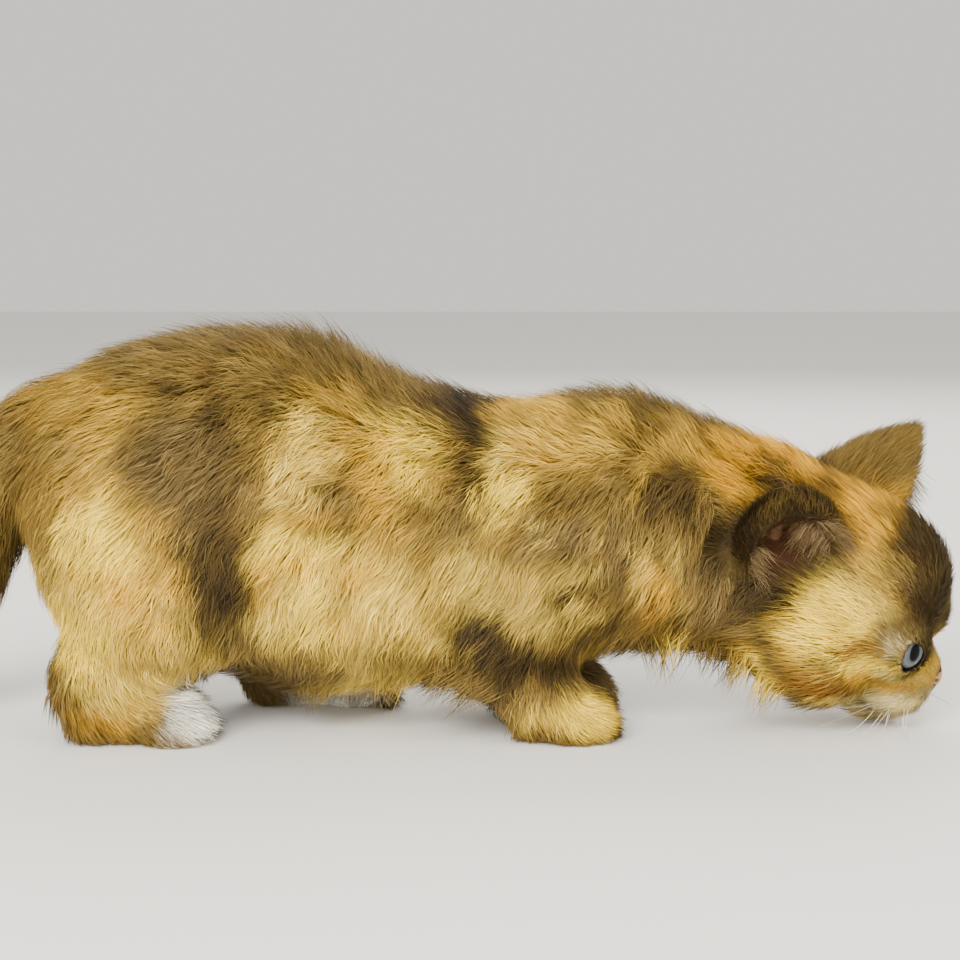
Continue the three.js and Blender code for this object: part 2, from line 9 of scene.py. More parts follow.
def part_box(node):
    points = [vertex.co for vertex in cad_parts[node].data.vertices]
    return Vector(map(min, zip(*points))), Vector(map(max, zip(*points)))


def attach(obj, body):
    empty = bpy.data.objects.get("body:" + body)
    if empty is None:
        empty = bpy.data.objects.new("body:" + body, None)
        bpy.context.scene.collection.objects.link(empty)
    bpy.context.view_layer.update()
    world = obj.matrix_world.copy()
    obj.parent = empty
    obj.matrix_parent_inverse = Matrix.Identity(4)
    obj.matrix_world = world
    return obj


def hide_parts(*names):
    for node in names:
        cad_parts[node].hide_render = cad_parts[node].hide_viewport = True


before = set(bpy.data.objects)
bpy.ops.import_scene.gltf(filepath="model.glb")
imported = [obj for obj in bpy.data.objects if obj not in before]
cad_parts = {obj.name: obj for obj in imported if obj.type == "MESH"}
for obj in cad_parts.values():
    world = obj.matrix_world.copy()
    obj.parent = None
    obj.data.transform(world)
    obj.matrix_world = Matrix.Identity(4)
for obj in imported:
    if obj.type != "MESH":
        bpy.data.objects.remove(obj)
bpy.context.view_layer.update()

# The skin: one soft surface from nose to tail, ears, lids, lips and toes included. It is cast
# from the same rounded forms as the solids, pulled in by the part of the coat that stands on it.
HEAD_AT = np.array([91.5, -1.2, 34.5])
HEAD_SCALE = 1.1
EYE_OF_SOLIDS = np.array([18.2, -12.0, 1.6])
EYE_AT = np.array([19.6, 11.6, 1.6])
EYE_RADIUS = 6.7
EYE_YAW, EYE_PITCH = 36, 6
EAR_WIDTH, EAR_DEPTH, EAR_HEIGHT = 12.6, 8.5, 28.0


def turned(axis, degrees):
    return np.array(Matrix.Rotation(math.radians(degrees), 3, axis))


def mirrored(p, s):
    """A place or a way of the left side as it is, for s = 1, or on the right side, for s = -1."""
    return np.array(p) * [1, s, 1]


def unit(v):
    return v / np.maximum(np.linalg.norm(v, axis=-1, keepdims=True), 1e-9)


head_turn = turned("Z", -18) @ turned("Y", 24.5) @ turned("X", 14.5)


def in_head(p):
    """Body places in the head's own frame: x forward, y left, z up from the middle of the skull."""
    return (p - HEAD_AT) @ head_turn / HEAD_SCALE


def out_of_head(q):
    return np.array(q) @ head_turn.T * HEAD_SCALE + HEAD_AT


low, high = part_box("eye_right")
shift = np.array(low + high) * 500 - out_of_head(EYE_OF_SOLIDS)


def metres(p):
    return (p + shift) / 1000


def ellipsoid(at, size, coat=0):
    at, size = np.array(at, np.float32), np.array(size, np.float32)

    def distance(p, share):
        q = (p - at) / (size + coat * share)
        k0 = np.sqrt((q * q).sum(1))
        q = q / (size + coat * share)
        return k0 * (k0 - 1) / np.maximum(np.sqrt((q * q).sum(1)), 1e-9)

    return distance


def bone(start, end, r0, r1, coat0=0, coat1=0):
    a = np.array(start, np.float32)
    ab = np.array(end, np.float32) - a

    def distance(p, share):
        t = np.clip((p - a) @ ab / (ab @ ab), 0, 1)
        off = p - a - t[:, None] * ab
        radius = r0 + (r1 - r0) * t + share * (coat0 + (coat1 - coat0) * t)
        return np.sqrt((off * off).sum(1)) - radius

    return distance


def soft_min(a, b, k):
    return np.minimum(a, b) - np.maximum(k - np.abs(a - b), 0) ** 2 / (4 * k)


def blend(k, *fields):
    def distance(p, share):
        total = fields[0](p, share)
        for field in fields[1:]:
            total = soft_min(total, field(p, share), k)
        return total

    return distance


torso = blend(
    12,
    ellipsoid([-87, 0, 64], [23, 24, 24], 11),
    ellipsoid([-62, 0, 62], [36, 29, 30], 12.5),
    ellipsoid([-38, 0, 50], [40, 30, 29], 10.5),
    ellipsoid([-2, 0, 50], [38, 24, 26], 10),
    ellipsoid([28, 0, 52], [22, 20, 22], 11),
)
neck = bone([34, 0, 57], [67, 0, 49], 19, 17, 12, 12)
TAIL = [  # place, radius of the flesh, depth of the coat
    ([-112, 0, 78], 6.5, 8),
    ([-125, 0, 66], 5.2, 8),
    ([-133, 0, 50], 4.6, 8.5),
    ([-139, 1, 35], 4, 8.5),
    ([-148, 2, 23], 3.4, 8),
    ([-162, 3, 17], 2.6, 4.5),
]
tail = [bone(a[0], b[0], a[1], b[1], a[2], b[2]) for a, b in zip(TAIL, TAIL[1:])]
skull = blend(
    5,
    ellipsoid([-7, 0, 3], [24, 22, 20], 5),
    ellipsoid([5, 0, 6], [18.5, 18, 16], 3.5),
    ellipsoid([4, -13, -7], [13, 10, 11], 4.5),
    ellipsoid([4, 13, -7], [13, 10, 11], 4.5),
    ellipsoid([8, 0, 11.5], [15, 13.5, 11.5], 3.4),
    ellipsoid([19.5, 0, -9], [10, 9, 7.5], 2),
    ellipsoid([23, -4.9, -12], [6.9, 5.8, 5.5], 1.4),
    ellipsoid([23, 4.9, -12], [6.9, 5.8, 5.5], 1.4),
    bone([13, 0, 1.5], [27.6, 0, -6.6], 6.6, 3.2, 1.6, 0.8),
    ellipsoid([19, 0, -17.5], [7.5, 6.5, 5], 1.8),
)


def toes(ball, reach):
    spread = []
    for i in (-1.5, -0.5, 0.5, 1.5):
        at = [ball[0] + reach - 1.3 * abs(i), ball[1] + i * 4.2, 4.7]
        spread.append(ellipsoid(at, [6.3, 2.4, 4.6], 0.8))
    return blend(0.8, *spread)


def hind_leg(s, hip, knee, hock, ball):
    h, k, o, b = [mirrored(p, s) for p in (hip, knee, hock, ball)]
    ham = [(h[0] + o[0]) / 2, (h[1] + k[1]) / 2, (h[2] + k[2]) / 2]
    thigh = blend(10, bone(h, k, 17, 12, 9, 7), ellipsoid(ham, [15, 9, 18], 7))
    heel = [o[0], o[1], b[2]]
    foot = blend(4, bone(o, b, 6, 5, 4.5, 2), bone(heel, b, 5, 5, 2.2, 2.2))
    return [thigh, bone(k, o, 10.5, 6.6, 7, 4.5), foot, toes(b, 5.5)]


def fore_leg(s, shoulder, elbow, wrist, ball):
    h, e, w, b = [mirrored(p, s) for p in (shoulder, elbow, wrist, ball)]
    arm = blend(8, bone(h, e, 12, 9, 8, 6.5), bone(e, w, 8.6, 6.4, 6.5, 3.6))
    foot = blend(4, bone(w, b, 6, 5.2, 3.6, 2), bone([w[0], w[1], b[2]], b, 5, 5.2, 2, 2))
    return [arm, foot, toes(b, 5)]


legs = [
    *hind_leg(-1, [-86, 13, 58], [-78, 22, 34], [-98, 23, 17], [-80, 22, 6.8]),
    *hind_leg(1, [-84, 13, 58], [-62, 21, 40], [-58, 23, 16], [-36, 24, 6.8]),
    *fore_leg(-1, [26, 13, 50], [6, 18, 26], [14, 20, 13], [23, 20, 6.8]),
    *fore_leg(1, [26, 13, 50], [7, 18, 26], [15, 20, 13], [24, 20, 6.8]),
]
body = blend(6, torso, neck, *tail, *legs)
BODY_SKIN, HEAD_SKIN = 0.45, 0.35  # share of the coat's depth that lies under the skin


def whole(p, body_share, head_share):
    return soft_min(body(p, body_share), skull(in_head(p), head_share) * HEAD_SCALE, 6)


# Ears: each a tapering shell of skin about a millimetre and a half thick, its cup open to the
# front and side, grown from the skull. The right ear leans further back than the left one.
EARS = {-1: ([-11, 16, 12], -6, 40, 50), 1: ([-8, 16, 12], 16, 32, 55)}  # base, lean, splay, facing
CUP_HEIGHT = EAR_HEIGHT - 3
EAR_FOLDS = [  # ridges in the bowl of the ear, and the small pocket on its outer edge
    ([-2.6, 2.5, 7], [-3.0, 1.5, 13], 1.1),
    ([-2.2, -2, 7], [-3.0, -3, 15], 1.0),
    ([-0.6, 8.0, 8], [-1.0, 7.4, 13], 0.9),
    ([-1.0, 7.4, 13], [-2.2, 5.2, 13.5], 0.9),
    ([-2.2, 5.2, 13.5], [-2.4, 5.6, 9], 0.9),
]


def ear_turn(s):
    _, lean, splay, facing = EARS[s]
    return turned("X", -s * splay) @ turned("Y", lean) @ turned("Z", s * facing)


def in_ear(q, s):
    """Places of the head's frame in an ear's own: x to its open side, z up from its base."""
    return (q - mirrored(EARS[s][0], s)) @ ear_turn(s)


def ear_shell(e, width, depth, height):
    t = np.clip(e[:, 2] / height, 0, 1)
    w = np.maximum(width * (1 - t**2.2) ** 0.75, 0.05)
    d = np.maximum(depth * (1 - t**1.5) ** 0.8, 0.05)
    k0 = np.hypot(e[:, 0] / d, e[:, 1] / w)
    k1 = np.maximum(np.hypot(e[:, 0] / d**2, e[:, 1] / w**2), 1e-9)
    side = k0 * (k0 - 1) / k1
    return np.maximum(side, np.maximum(-e[:, 2], e[:, 2] - height))


def ear_cup(e):
    """The hollow: the same form set forward, narrower by the skin and lower by the tip."""
    return ear_shell(e - [EAR_DEPTH * 0.55, 0, 1], EAR_WIDTH - 1.5, EAR_DEPTH, CUP_HEIGHT)


def ear(q, s):
    e = in_ear(q, s)
    shell = np.maximum(ear_shell(e, EAR_WIDTH, EAR_DEPTH, EAR_HEIGHT), -ear_cup(e))
    for a, b, r in EAR_FOLDS:
        fold = bone(mirrored(a, s), mirrored(b, s), r, r * 0.8)
        shell = soft_min(shell, fold(e, 0), 0.8)
    return shell


# Eyelids, nostril beds and lips: an almond opening over each eye, and a fine groove from the
# nose down and along under each lip pad.
def in_eye(q, s):
    return (q - mirrored(EYE_AT, s)) @ turned("Z", s * EYE_YAW) @ turned("Y", -EYE_PITCH)


def almond(e, s):
    """Distance from the edge of the eye's opening, measured across it; below 0 in the opening."""
    across = e[:, 1] * 0.91 - s * e[:, 2] * 0.42
    along = s * e[:, 1] * 0.42 + e[:, 2] * 0.91
    over = np.hypot(across * 1.3, along + 0.2) - 4.0
    under = np.hypot(across * 1.25, along - 0.2) - 4.0
    return np.maximum(over, under)


def on_skull(direction, share=HEAD_SKIN):
    """Where a ray from inside the muzzle leaves the skin."""
    start = np.array([[18.0, 0, -10]])
    way = np.array([direction]) / np.linalg.norm(direction)
    t = 1.0
    for _ in range(60):
        t = max(t - 0.7 * skull(start + way * t, share)[0], 0.5)
    return (start + way * t)[0]


def mouth_side(s):
    ways = [[1, 0, -0.42], [1, 0.25, -0.55], [0.9, 0.6, -0.62], [0.5, 0.9, -0.6], [0.1, 1, -0.5]]
    return [on_skull(mirrored(way, s)) for way in ways]


MOUTH = [mouth_side(-1), mouth_side(1), [on_skull([1, 0, z]) for z in (0.12, -0.2, -0.5)]]


def lips(q):
    """Distance from the line of the mouth."""
    near = np.full(len(q), 99.0)
    for line in MOUTH:
        for a, b in zip(line, line[1:]):
            near = np.minimum(near, bone(a, b, 0, 0)(q, 0))
    return near


NOSE_AT = np.array([30.1, 0, -7.2])


def skin_field(p):
    form = whole(p, BODY_SKIN, HEAD_SKIN)
    q = in_head(p)
    near = (q * q).sum(1) < 50**2
    q = q[near]
    head = form[near] / HEAD_SCALE
    for s in (-1, 1):
        head = soft_min(head, ear(q, s), 1.6)
        e = in_eye(q, s)
        ball = np.sqrt((e * e).sum(1)) - EYE_RADIUS
        head = soft_min(head, np.maximum(ball - 0.8, -e[:, 0] - 1), 4.5)
        head = np.maximum(head, 0.06 - ball)
        slot = np.maximum(almond(e, s), -e[:, 0])
        head = np.maximum(head, -slot)
    mouth = lips(q) - 0.45
    head = -soft_min(-head, mouth, 0.7)
    head = np.maximum(head, -(np.sqrt(((q - NOSE_AT) ** 2).sum(1)) - 2.2))
    form[near] = head * HEAD_SCALE
    return np.maximum(form, 0.25 - p[:, 2])


def spaced(*stretches):
    """Grid lines that run on from stretch to stretch, each given as its end and its step."""
    lines = [stretches[0][0]]
    for end, step in stretches[1:]:
        count = round((end - lines[-1]) / step)
        lines += list(np.linspace(lines[-1], end, count + 1)[1:])
    return np.array(lines, np.float32)


def field_on(xs, ys, zs, field):
    values = np.empty((len(xs), len(ys), len(zs)), np.float32)
    sheet = np.stack(np.meshgrid(ys, zs, indexing="ij"), -1).reshape(-1, 2)
    for i in range(0, len(xs), 8):
        block = xs[i : i + 8]
        p = np.empty((len(block) * len(sheet), 3), np.float32)
        p[:, 0] = np.repeat(block, len(sheet))
        p[:, 1:] = np.tile(sheet, (len(block), 1))
        values[i : i + 8] = field(p).reshape(len(block), len(ys), len(zs))
    return values


def surface(xs, ys, zs, field):
    """The surface where a field crosses 0: one vertex in each cell that it passes, and quads."""
    values = field_on(xs, ys, zs, field)
    inside = values < 0
    shape = np.array(values.shape) - 1
    corners = list(np.ndindex(2, 2, 2))
    steps = np.eye(3, dtype=int)
    count = np.zeros(shape, np.int8)
    for i, j, k in corners:
        count += inside[i : i + shape[0], j : j + shape[1], k : k + shape[2]]
    cells = np.argwhere((count > 0) & (count < 8))
    index = np.full(shape, -1)
    index[tuple(cells.T)] = np.arange(len(cells))
    lines = (xs, ys, zs)
    total, hits = np.zeros((len(cells), 3)), np.zeros(len(cells))
    for axis in range(3):
        for corner in corners:
            if corner[axis]:
                continue
            a = cells + corner
            b = a + steps[axis]
            va, vb = values[tuple(a.T)], values[tuple(b.T)]
            crossed = (va < 0) != (vb < 0)
            t = np.where(crossed, va / np.where(crossed, va - vb, 1), 0)
            for n in range(3):
                at = lines[n][a[:, n]] * (1 - t) + lines[n][b[:, n]] * t
                total[:, n] += np.where(crossed, at, 0)
            hits += crossed
    quads = []
    for axis in range(3):
        ahead = [slice(None)] * 3
        back = [slice(None)] * 3
        ahead[axis], back[axis] = slice(1, None), slice(0, -1)
        a, b = inside[tuple(back)], inside[tuple(ahead)]
        u, v = (axis + 1) % 3, (axis + 2) % 3
        for leaving in (True, False):
            at = np.argwhere(a & ~b if leaving else b & ~a)
            at = at[(at[:, u] > 0) & (at[:, v] > 0) & (at[:, u] < shape[u]) & (at[:, v] < shape[v])]
            ring = [at - steps[u] - steps[v], at - steps[v], at, at - steps[u]]
            quad = np.stack([index[tuple(c.T)] for c in ring], 1)
            quads.append(quad if leaving else quad[:, ::-1])
    return total / hits[:, None], np.concatenate(quads)


def mesh_piece(name, points, faces, material):
    """A smooth-shaded piece that rides on the body. Points are in metres."""
    sizes = faces.shape[1]
    mesh = bpy.data.meshes.new(name)
    mesh.vertices.add(len(points))
    mesh.vertices.foreach_set("co", np.asarray(points, np.float32).ravel())
    mesh.loops.add(faces.size)
    mesh.loops.foreach_set("vertex_index", faces.astype(np.int32).ravel())
    mesh.polygons.add(len(faces))
    mesh.polygons.foreach_set("loop_start", np.arange(0, faces.size, sizes, dtype=np.int32))
    mesh.update(calc_edges=True)
    mesh.polygons.foreach_set("use_smooth", np.ones(len(faces), bool))
    mesh.materials.append(material)
    piece = bpy.data.objects.new(name, mesh)
    bpy.context.scene.collection.objects.link(piece)
    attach(piece, "root")
    return piece


xs = spaced((-172,), (56, 1.5), (128, 0.6))
ys = spaced((-46,), (-37, 1.0), (34, 0.7), (46, 1.2))
zs = spaced((-1,), (70, 0.7), (108, 1.4))
skin_points, skin_quads = surface(xs, ys, zs, skin_field)


def downhill(field, p, step=0.2):
    """Outward direction of a field at each place."""
    slope = np.empty((len(p), 3))
    for n in range(3):
        d = np.zeros(3)
        d[n] = step
        slope[:, n] = field(p + d) - field(p - d)
    return unit(slope)


skin_normals = downhill(skin_field, skin_points)

# The markings: dark olive back over gold and cream, with ginger, dark and pale patches, as a
# tortoiseshell tabby has. Each patch is a soft rounded place on the body, its edge ragged.
COLOURS = {  # middle of a hair, and its tip
    "olive": [(0.21, 0.135, 0.028), (0.085, 0.052, 0.009)],
    "gold": [(0.55, 0.34, 0.036), (0.43, 0.25, 0.024)],
    "straw": [(0.76, 0.54, 0.085), (0.66, 0.45, 0.065)],
    "cream": [(0.97, 0.69, 0.062), (0.94, 0.64, 0.05)],
    "ginger": [(0.72, 0.37, 0.010), (0.62, 0.30, 0.008)],
    "dark": [(0.038, 0.022, 0.004), (0.011, 0.006, 0.0015)],
    "grey": [(0.165, 0.112, 0.038), (0.09, 0.058, 0.017)],
    "pale": [(0.88, 0.73, 0.34), (0.86, 0.71, 0.32)],
    "white": [(0.94, 0.91, 0.78), (0.95, 0.92, 0.80)],
    "brown": [(0.24, 0.105, 0.010), (0.16, 0.068, 0.007)],
}
DEEP_ABOVE, DEEP = 82, 22  # a patch on top of the back reaches across it


def spots(least, *runs):
    """Patches in runs of one colour, each as place, half width, half height, strength, maybe side.

    A patch is as deep as it is wide or tall, whichever is less, but at least so that it meets the skin.
    """
    out = []
    for colour, *patches in runs:
        for x, y, z, wide, tall, strength, *side in patches:
            deep = DEEP if z >= DEEP_ABOVE else max(least, round(min(wide, tall)))
            out.append((colour, (x, y, z), (wide, deep, tall), strength, *(side or [0])))
    return out


BODY_PATCHES = [  # colour, middle, half sizes, strength; sides: -1 right, 1 left, 0 both
    ("gold", (-40, 0, 62), (80, 60, 16), 0.6, 0),
    ("straw", (-50, 30, 36), (70, 30, 18), 0.7, 0),
    ("grey", (-10, 0, 10), (70, 30, 10), 0.8, 0),
] + spots(
    11,
    ("gold", (-106, 16, 86, 13.7, 8.5, 0.6), (-92, 31, 79, 10.7, 8.5, 0.8),
     (-97, 35, 65, 9.8, 7.6, 0.6)),
    ("olive", (-116, 15, 68, 7.6, 12.2, 0.8), (-66, 38, 49, 14.6, 24.4, 0.75),
     (-4, 28, 70, 7.3, 21.3, 0.8), (52, 28, 52, 15.2, 22.9, 0.8), (-70, 36, 78, 18.3, 18.3, 0.6),
     (-37, 39, 59, 24.4, 4.3, 0.5)),
    ("grey", (-81, 36, 74, 9.8, 9.1, 0.6), (-71, 38, 71, 9.1, 14, 0.7), (-58, 40, 64, 6.7, 6.7, 0.6)),
    ("gold", (-39, 25, 86, 11.6, 4.9, 0.65)),
    ("straw", (-46, 36, 74, 6.1, 13.7, 0.9), (-38, 33, 76, 4.9, 7.6, 0.6)),
    ("gold", (-30, 32, 73, 6.7, 12.2, 0.6)),
    ("cream", (-19, 27, 75, 6.7, 13.7, 0.85)),
    ("ginger", (-25, 34, 67, 3.7, 7.6, 0.6), (-22, 25, 78, 3, 4.3, 0.5), (-32, 29, 79, 2.7, 3, 0.4)),
    ("grey", (-37, 38, 65, 5.2, 4.9, 0.7)),
    ("ginger", (-44, 40, 58, 4.6, 3.4, 0.55), (-28, 37, 58, 4.6, 3.4, 0.5)),
    ("grey", (-6, 33, 57, 6.7, 9.1, 0.65)),
    ("gold", (12, 9, 83, 9.8, 7.9, 0.85)),
    ("straw", (5, 23, 74, 4.3, 12.2, 0.75)),
    ("cream", (6, 30, 62, 6.7, 5.5, 0.8)),
    ("gold", (20, 23, 74, 10.4, 8.5, 0.8)),
    ("straw", (28, 19, 79, 3, 6.7, 0.5)),
    ("olive", (26, 30, 62, 12.2, 7.9, 0.85)),
    ("grey", (17, 32, 52, 12.2, 6.1, 0.8)),
    ("straw", (14, 32, 53, 3.4, 1.8, 0.8), (28, 33, 52, 2.7, 2.4, 0.7)),
    ("gold", (32, 17, 81, 6.7, 6.7, 0.8), (47, 17, 77, 7.9, 6.7, 0.85), (40, 25, 69, 4.3, 8.5, 0.6)),
    ("grey", (35, 31, 48, 6.7, 12.2, 0.6)),
    ("straw", (41, 28, 45, 2.4, 7.9, 0.8)),
    ("ginger", (44, 23, 36, 2.1, 11, 0.85)),
    ("straw", (49, 24, 39, 2.7, 10.4, 0.45)),
    ("olive", (49, 19, 32, 6.7, 12.2, 0.5)),
    ("grey", (55, 23, 36, 5.5, 11, 0.6)),
    ("cream", (48, 14, 20, 2.7, 4.9, 0.9), (-96, 36, 52, 12.2, 10.7, 0.95)),
    ("ginger", (-88, 38, 38, 9.1, 6.7, 0.6), (-99, 33, 43, 5.5, 3.7, 0.45)),
    ("cream", (-106, 23, 29, 4.9, 9.1, 0.8)),
    ("gold", (-81, 38, 49, 5.5, 8.5, 0.7)),
    ("ginger", (-76, 39, 41, 3.7, 4.3, 0.45)),
    ("cream", (-98, 33, 24, 8.5, 7.3, 0.85)),
    ("gold", (-81, 39, 29, 8.5, 4.3, 0.8)),
    ("straw", (-87, 32, 14, 12.8, 6.1, 0.85)),
    ("ginger", (-95, 31, 7, 7.9, 3.7, 0.45)),
    ("grey", (-58, 28, 27, 5.5, 6.7, 0.8), (-71, 38, 55, 4.3, 5.5, 0.6)),
    ("cream", (-44, 40, 49, 12.8, 6.7, 0.95)),
    ("straw", (-34, 35, 35, 18.9, 11, 0.95)),
    ("cream", (-23, 35, 38, 4.9, 10.4, 0.7), (-44, 34, 33, 4.3, 9.1, 0.7)),
    ("ginger", (-44, 39, 45, 5.2, 3.4, 0.8), (-31, 38, 44, 5.2, 3.4, 0.8), (-53, 37, 41, 3, 6.7, 0.5)),
    ("gold", (-21, 37, 48, 3.7, 7.9, 0.6), (-37, 34, 33, 3.7, 5.5, 0.5)),
    ("ginger", (-37, 31, 27, 2.7, 6.1, 0.35)),
    ("straw", (-20, 33, 34, 7.9, 15.2, 0.8)),
    ("gold", (-11, 34, 41, 4.9, 12.2, 0.6)),
    ("straw", (-3, 32, 40, 4.6, 14.6, 0.75)),
    ("olive", (-14, 35, 54, 8.5, 9.1, 0.75)),
    ("straw", (-33, 20, 18, 18.3, 3.4, 0.3)),
    ("grey", (-50, 18, 18, 16.8, 4.9, 0.9), (-37, 14, 5, 22.9, 3.7, 0.85)),
    ("straw", (20, 32, 40, 8.5, 1.8, 0.4), (20, 31, 32, 9.8, 1.8, 0.7), (28, 14, 21, 5.5, 1.5, 0.7)),
    ("dark", (-121, 8, 52, 5.5, 15.2, 0.4), (-66, 30, 87, 4.9, 15.2, 0.5, -1),
     (-63, 39, 70, 4.6, 10.4, 0.4), (-36, 39, 55, 4.3, 2.4, 0.8, -1),
     (-8, 14, 89, 9.1, 5.5, 0.85, -1), (-3, 13, 82, 6.1, 13.4, 0.95, -1), (-4, 28, 70, 4, 12.2, 0.75),
     (39, 18, 79, 2.1, 7.3, 0.8), (44, 14, 85, 4.3, 3, 0.7, -1), (48, 26, 63, 5.5, 11, 0.75),
     (53, 27, 58, 3, 4.3, 0.6)),
    ("brown", (45, 20, 33, 1.2, 6.7, 0.55)),
    ("dark", (48, 15, 29, 0.9, 6.7, 0.7), (-65, 38, 49, 7.9, 15.2, 0.85),
     (-67, 37, 36, 4.6, 8.5, 0.8), (-66, 34, 27, 7.6, 3.7, 0.6), (-60, 35, 37, 6.1, 9.1, 0.85),
     (0, 33, 27, 9.1, 7.9, 1), (-2, 29, 19, 4.9, 4.3, 0.8), (10, 33, 24, 11, 3.7, 0.9),
     (6, 30, 14, 4.3, 4.3, 0.8), (22, 25, 23, 4.3, 1.8, 0.7), (22, 31, 37, 9.8, 1.8, 0.9),
     (27, 23, 27, 8.5, 2.1, 0.9), (16, 30, 19, 14.6, 4.3, 0.95), (20, 33, 47, 4.9, 1.8, 0.5)),
) + [
    ("dark", (-30, 24, 84), (9, 12, 9), 0.7, 1),
    ("dark", (-135, 0, 44), (18, 14, 20), 0.3, 0),
    ("straw", (-20, 24, 15), (22, 14, 11), 0.9, 1),
    ("straw", (-26, 6, 12), (20, 16, 7), 0.85, 0),
    ("cream", (29, 29, 7), (9, 11, 5.5), 1, 0),
    ("straw", (15, 29, 5), (7, 11, 3.5), 0.85, 0),
    ("white", (-69, 26, 8), (10, 14, 7.9), 1, -1),
    ("white", (-32, 26, 5), (20, 18, 10), 1, 1),
]
HEAD_PATCHES = [  # in the head's own frame
    ("pale", (24, 0, -14), (12, 12, 8), 0.9, 0),
    ("pale", (8, 0, -20), (16, 14, 7), 0.7, 0),
] + spots(
    9,
    ("gold", (-11, 23, -16, 2.8, 5, 0.85)),
    ("cream", (-5, 22, -18, 3.9, 4.7, 0.95)),
    ("grey", (-18, 28, 1, 6.7, 10, 0.7)),
    ("ginger", (-31, 16, 27, 11.1, 6.7, 0.95), (-19, 1, 28, 16.6, 5, 0.95),
     (-3, 13, 24, 9.4, 5.5, 0.95)),
    ("gold", (3, 18, 19, 5, 3.3, 0.7), (5, 14, 23, 9.4, 8.9, 0.55)),
    ("olive", (16, 15, 18, 8.3, 15.2, 0.6), (4, 7, 26, 8.3, 6.9, 0.5)),
    ("grey", (16, 16, 15, 6.7, 8.3, 0.55), (-2, 20, 18, 7.2, 3.3, 0.75)),
    ("straw", (4, 20, 16, 10, 1.7, 0.7)),
    ("cream", (3, 24, 7, 11.1, 8.3, 0.98)),
    ("straw", (11, 20, 13, 6.1, 5, 0.6)),
    ("cream", (14, 23, -3, 9.4, 2.5, 0.95)),
    ("ginger", (0, 8, 26, 8.3, 4.4, 0.6)),
    ("cream", (20, 15, -2, 5.5, 3.6, 1), (24, 11, -6, 5.5, 2.2, 0.9), (28, 6, -3, 2.5, 3.6, 0.9)),
    ("straw", (21, 15, -8, 5.5, 2.2, 0.8)),
    ("ginger", (17, 21, -6, 7.8, 1.9, 0.8)),
    ("gold", (3, 27, -7, 5.5, 3.3, 0.5)),
    ("cream", (1, 26, -1, 6.1, 4.4, 0.9)),
    ("gold", (-1, 23, -16, 3.9, 2.8, 0.8)),
    ("straw", (15, 22, -13, 9.4, 2.5, 0.8), (28, 10, -14, 3.3, 2.5, 0.7)),
    ("ginger", (23, 13, -9, 5, 1.7, 0.75)),
    ("gold", (29, 6, -4, 2.5, 5, 0.9)),
    ("pale", (20, 16, 5, 3.3, 2.2, 0.6), (21, 14, -3, 4.2, 2.5, 0.45), (25, 10, -6, 3.3, 1.4, 0.5),
     (24, 12, -14, 7.5, 2.8, 0.95), (17, 19, -13, 6.1, 1.7, 0.45)),
    ("dark", (-23, 27, 17, 5.5, 12.2, 0.9), (-17, 14, 26, 11.6, 3, 0.95),
     (-12, 5, 27, 4.2, 3.9, 0.75), (-2, 14, 23, 4.2, 6.1, 0.7), (-11, 27, 6, 6.7, 5.5, 0.9),
     (-15, 28, 2, 3.3, 6.1, 0.7), (20, 7, 21, 7.2, 16.1, 0.8), (17, 0, 25, 5, 6.7, 0.6),
     (11, 7, 26, 4.4, 5, 0.85), (24, 10, 4, 2.5, 1.4, 0.85)),
    ("brown", (10, 25, -1, 4.4, 1.7, 1), (14, 21, 2, 5, 1.4, 1), (7, 26, -10, 7.8, 2.2, 1)),
) + [
    ("olive", (-8, 24, 26), (12, 14, 16), 0.9, 1),
    ("dark", (-12.5, 26, 23), (14, 14, 15), 0.95, -1),
]
PATCH_END, PATCH_FADE = 1.35, 0.75  # where a patch has faded out, and its soft edge, in half sizes


def ripple(p, scale, seed):
    """Smooth repeatable noise from about -1 to 1, three numbers at each place."""
    rng = np.random.default_rng(seed)
    ways = rng.normal(size=(3, 7, 3)) * 6.28 / scale
    phase = rng.uniform(0, 6.28, (3, 7))
    return np.stack([np.sin(p @ ways[n].T + phase[n]).sum(1) / 3.5 for n in range(3)], 1)


def markings(p, rng):
    """Colour of the middle and the tip of the hair at each place."""
    left = np.clip(p[:, 1:2] / 20, 0, 1) * np.clip((60 - p[:, :1]) / 20, 0, 1)
    p = p + ripple(p, 24, 1) * 2.2 + ripple(p, 8, 2) * 1.2 + rng.normal(size=p.shape) * 0.8
    p = p + left * (ripple(p, 60, 3) * 5 + [7, 0, -4])
    colour = np.tile(np.array(COLOURS["olive"], float), (len(p), 1, 1))
    for places, patches in ((p, BODY_PATCHES), (in_head(p), HEAD_PATCHES)):
        for kind, at, size, strength, side in patches:
            for s in (-1, 1) if side == 0 and at[1] else (side or 1,):
                off = (places - mirrored(at, s)) / size
                fall = np.clip((PATCH_END - np.sqrt((off * off).sum(1))) / PATCH_FADE, 0, 1)
                fall = (strength * fall * fall * (3 - 2 * fall))[:, None, None]
                colour = colour * (1 - fall) + np.array(COLOURS[kind]) * fall
    fleck = ripple(p * [1, 1, 0.6], 11, 4)
    warm = np.clip(fleck[:, :1] * 0.75 - 0.1, 0, 0.6)[:, :, None] * (colour[:, :1, 2:] < 0.2)
    colour = colour * (1 - warm) + colour * np.array([0.9, 0.7, 0.35]) * warm
    return colour * (1 + np.clip(fleck[:, 1:2] * 0.34, -0.32, 0.12))[:, :, None]


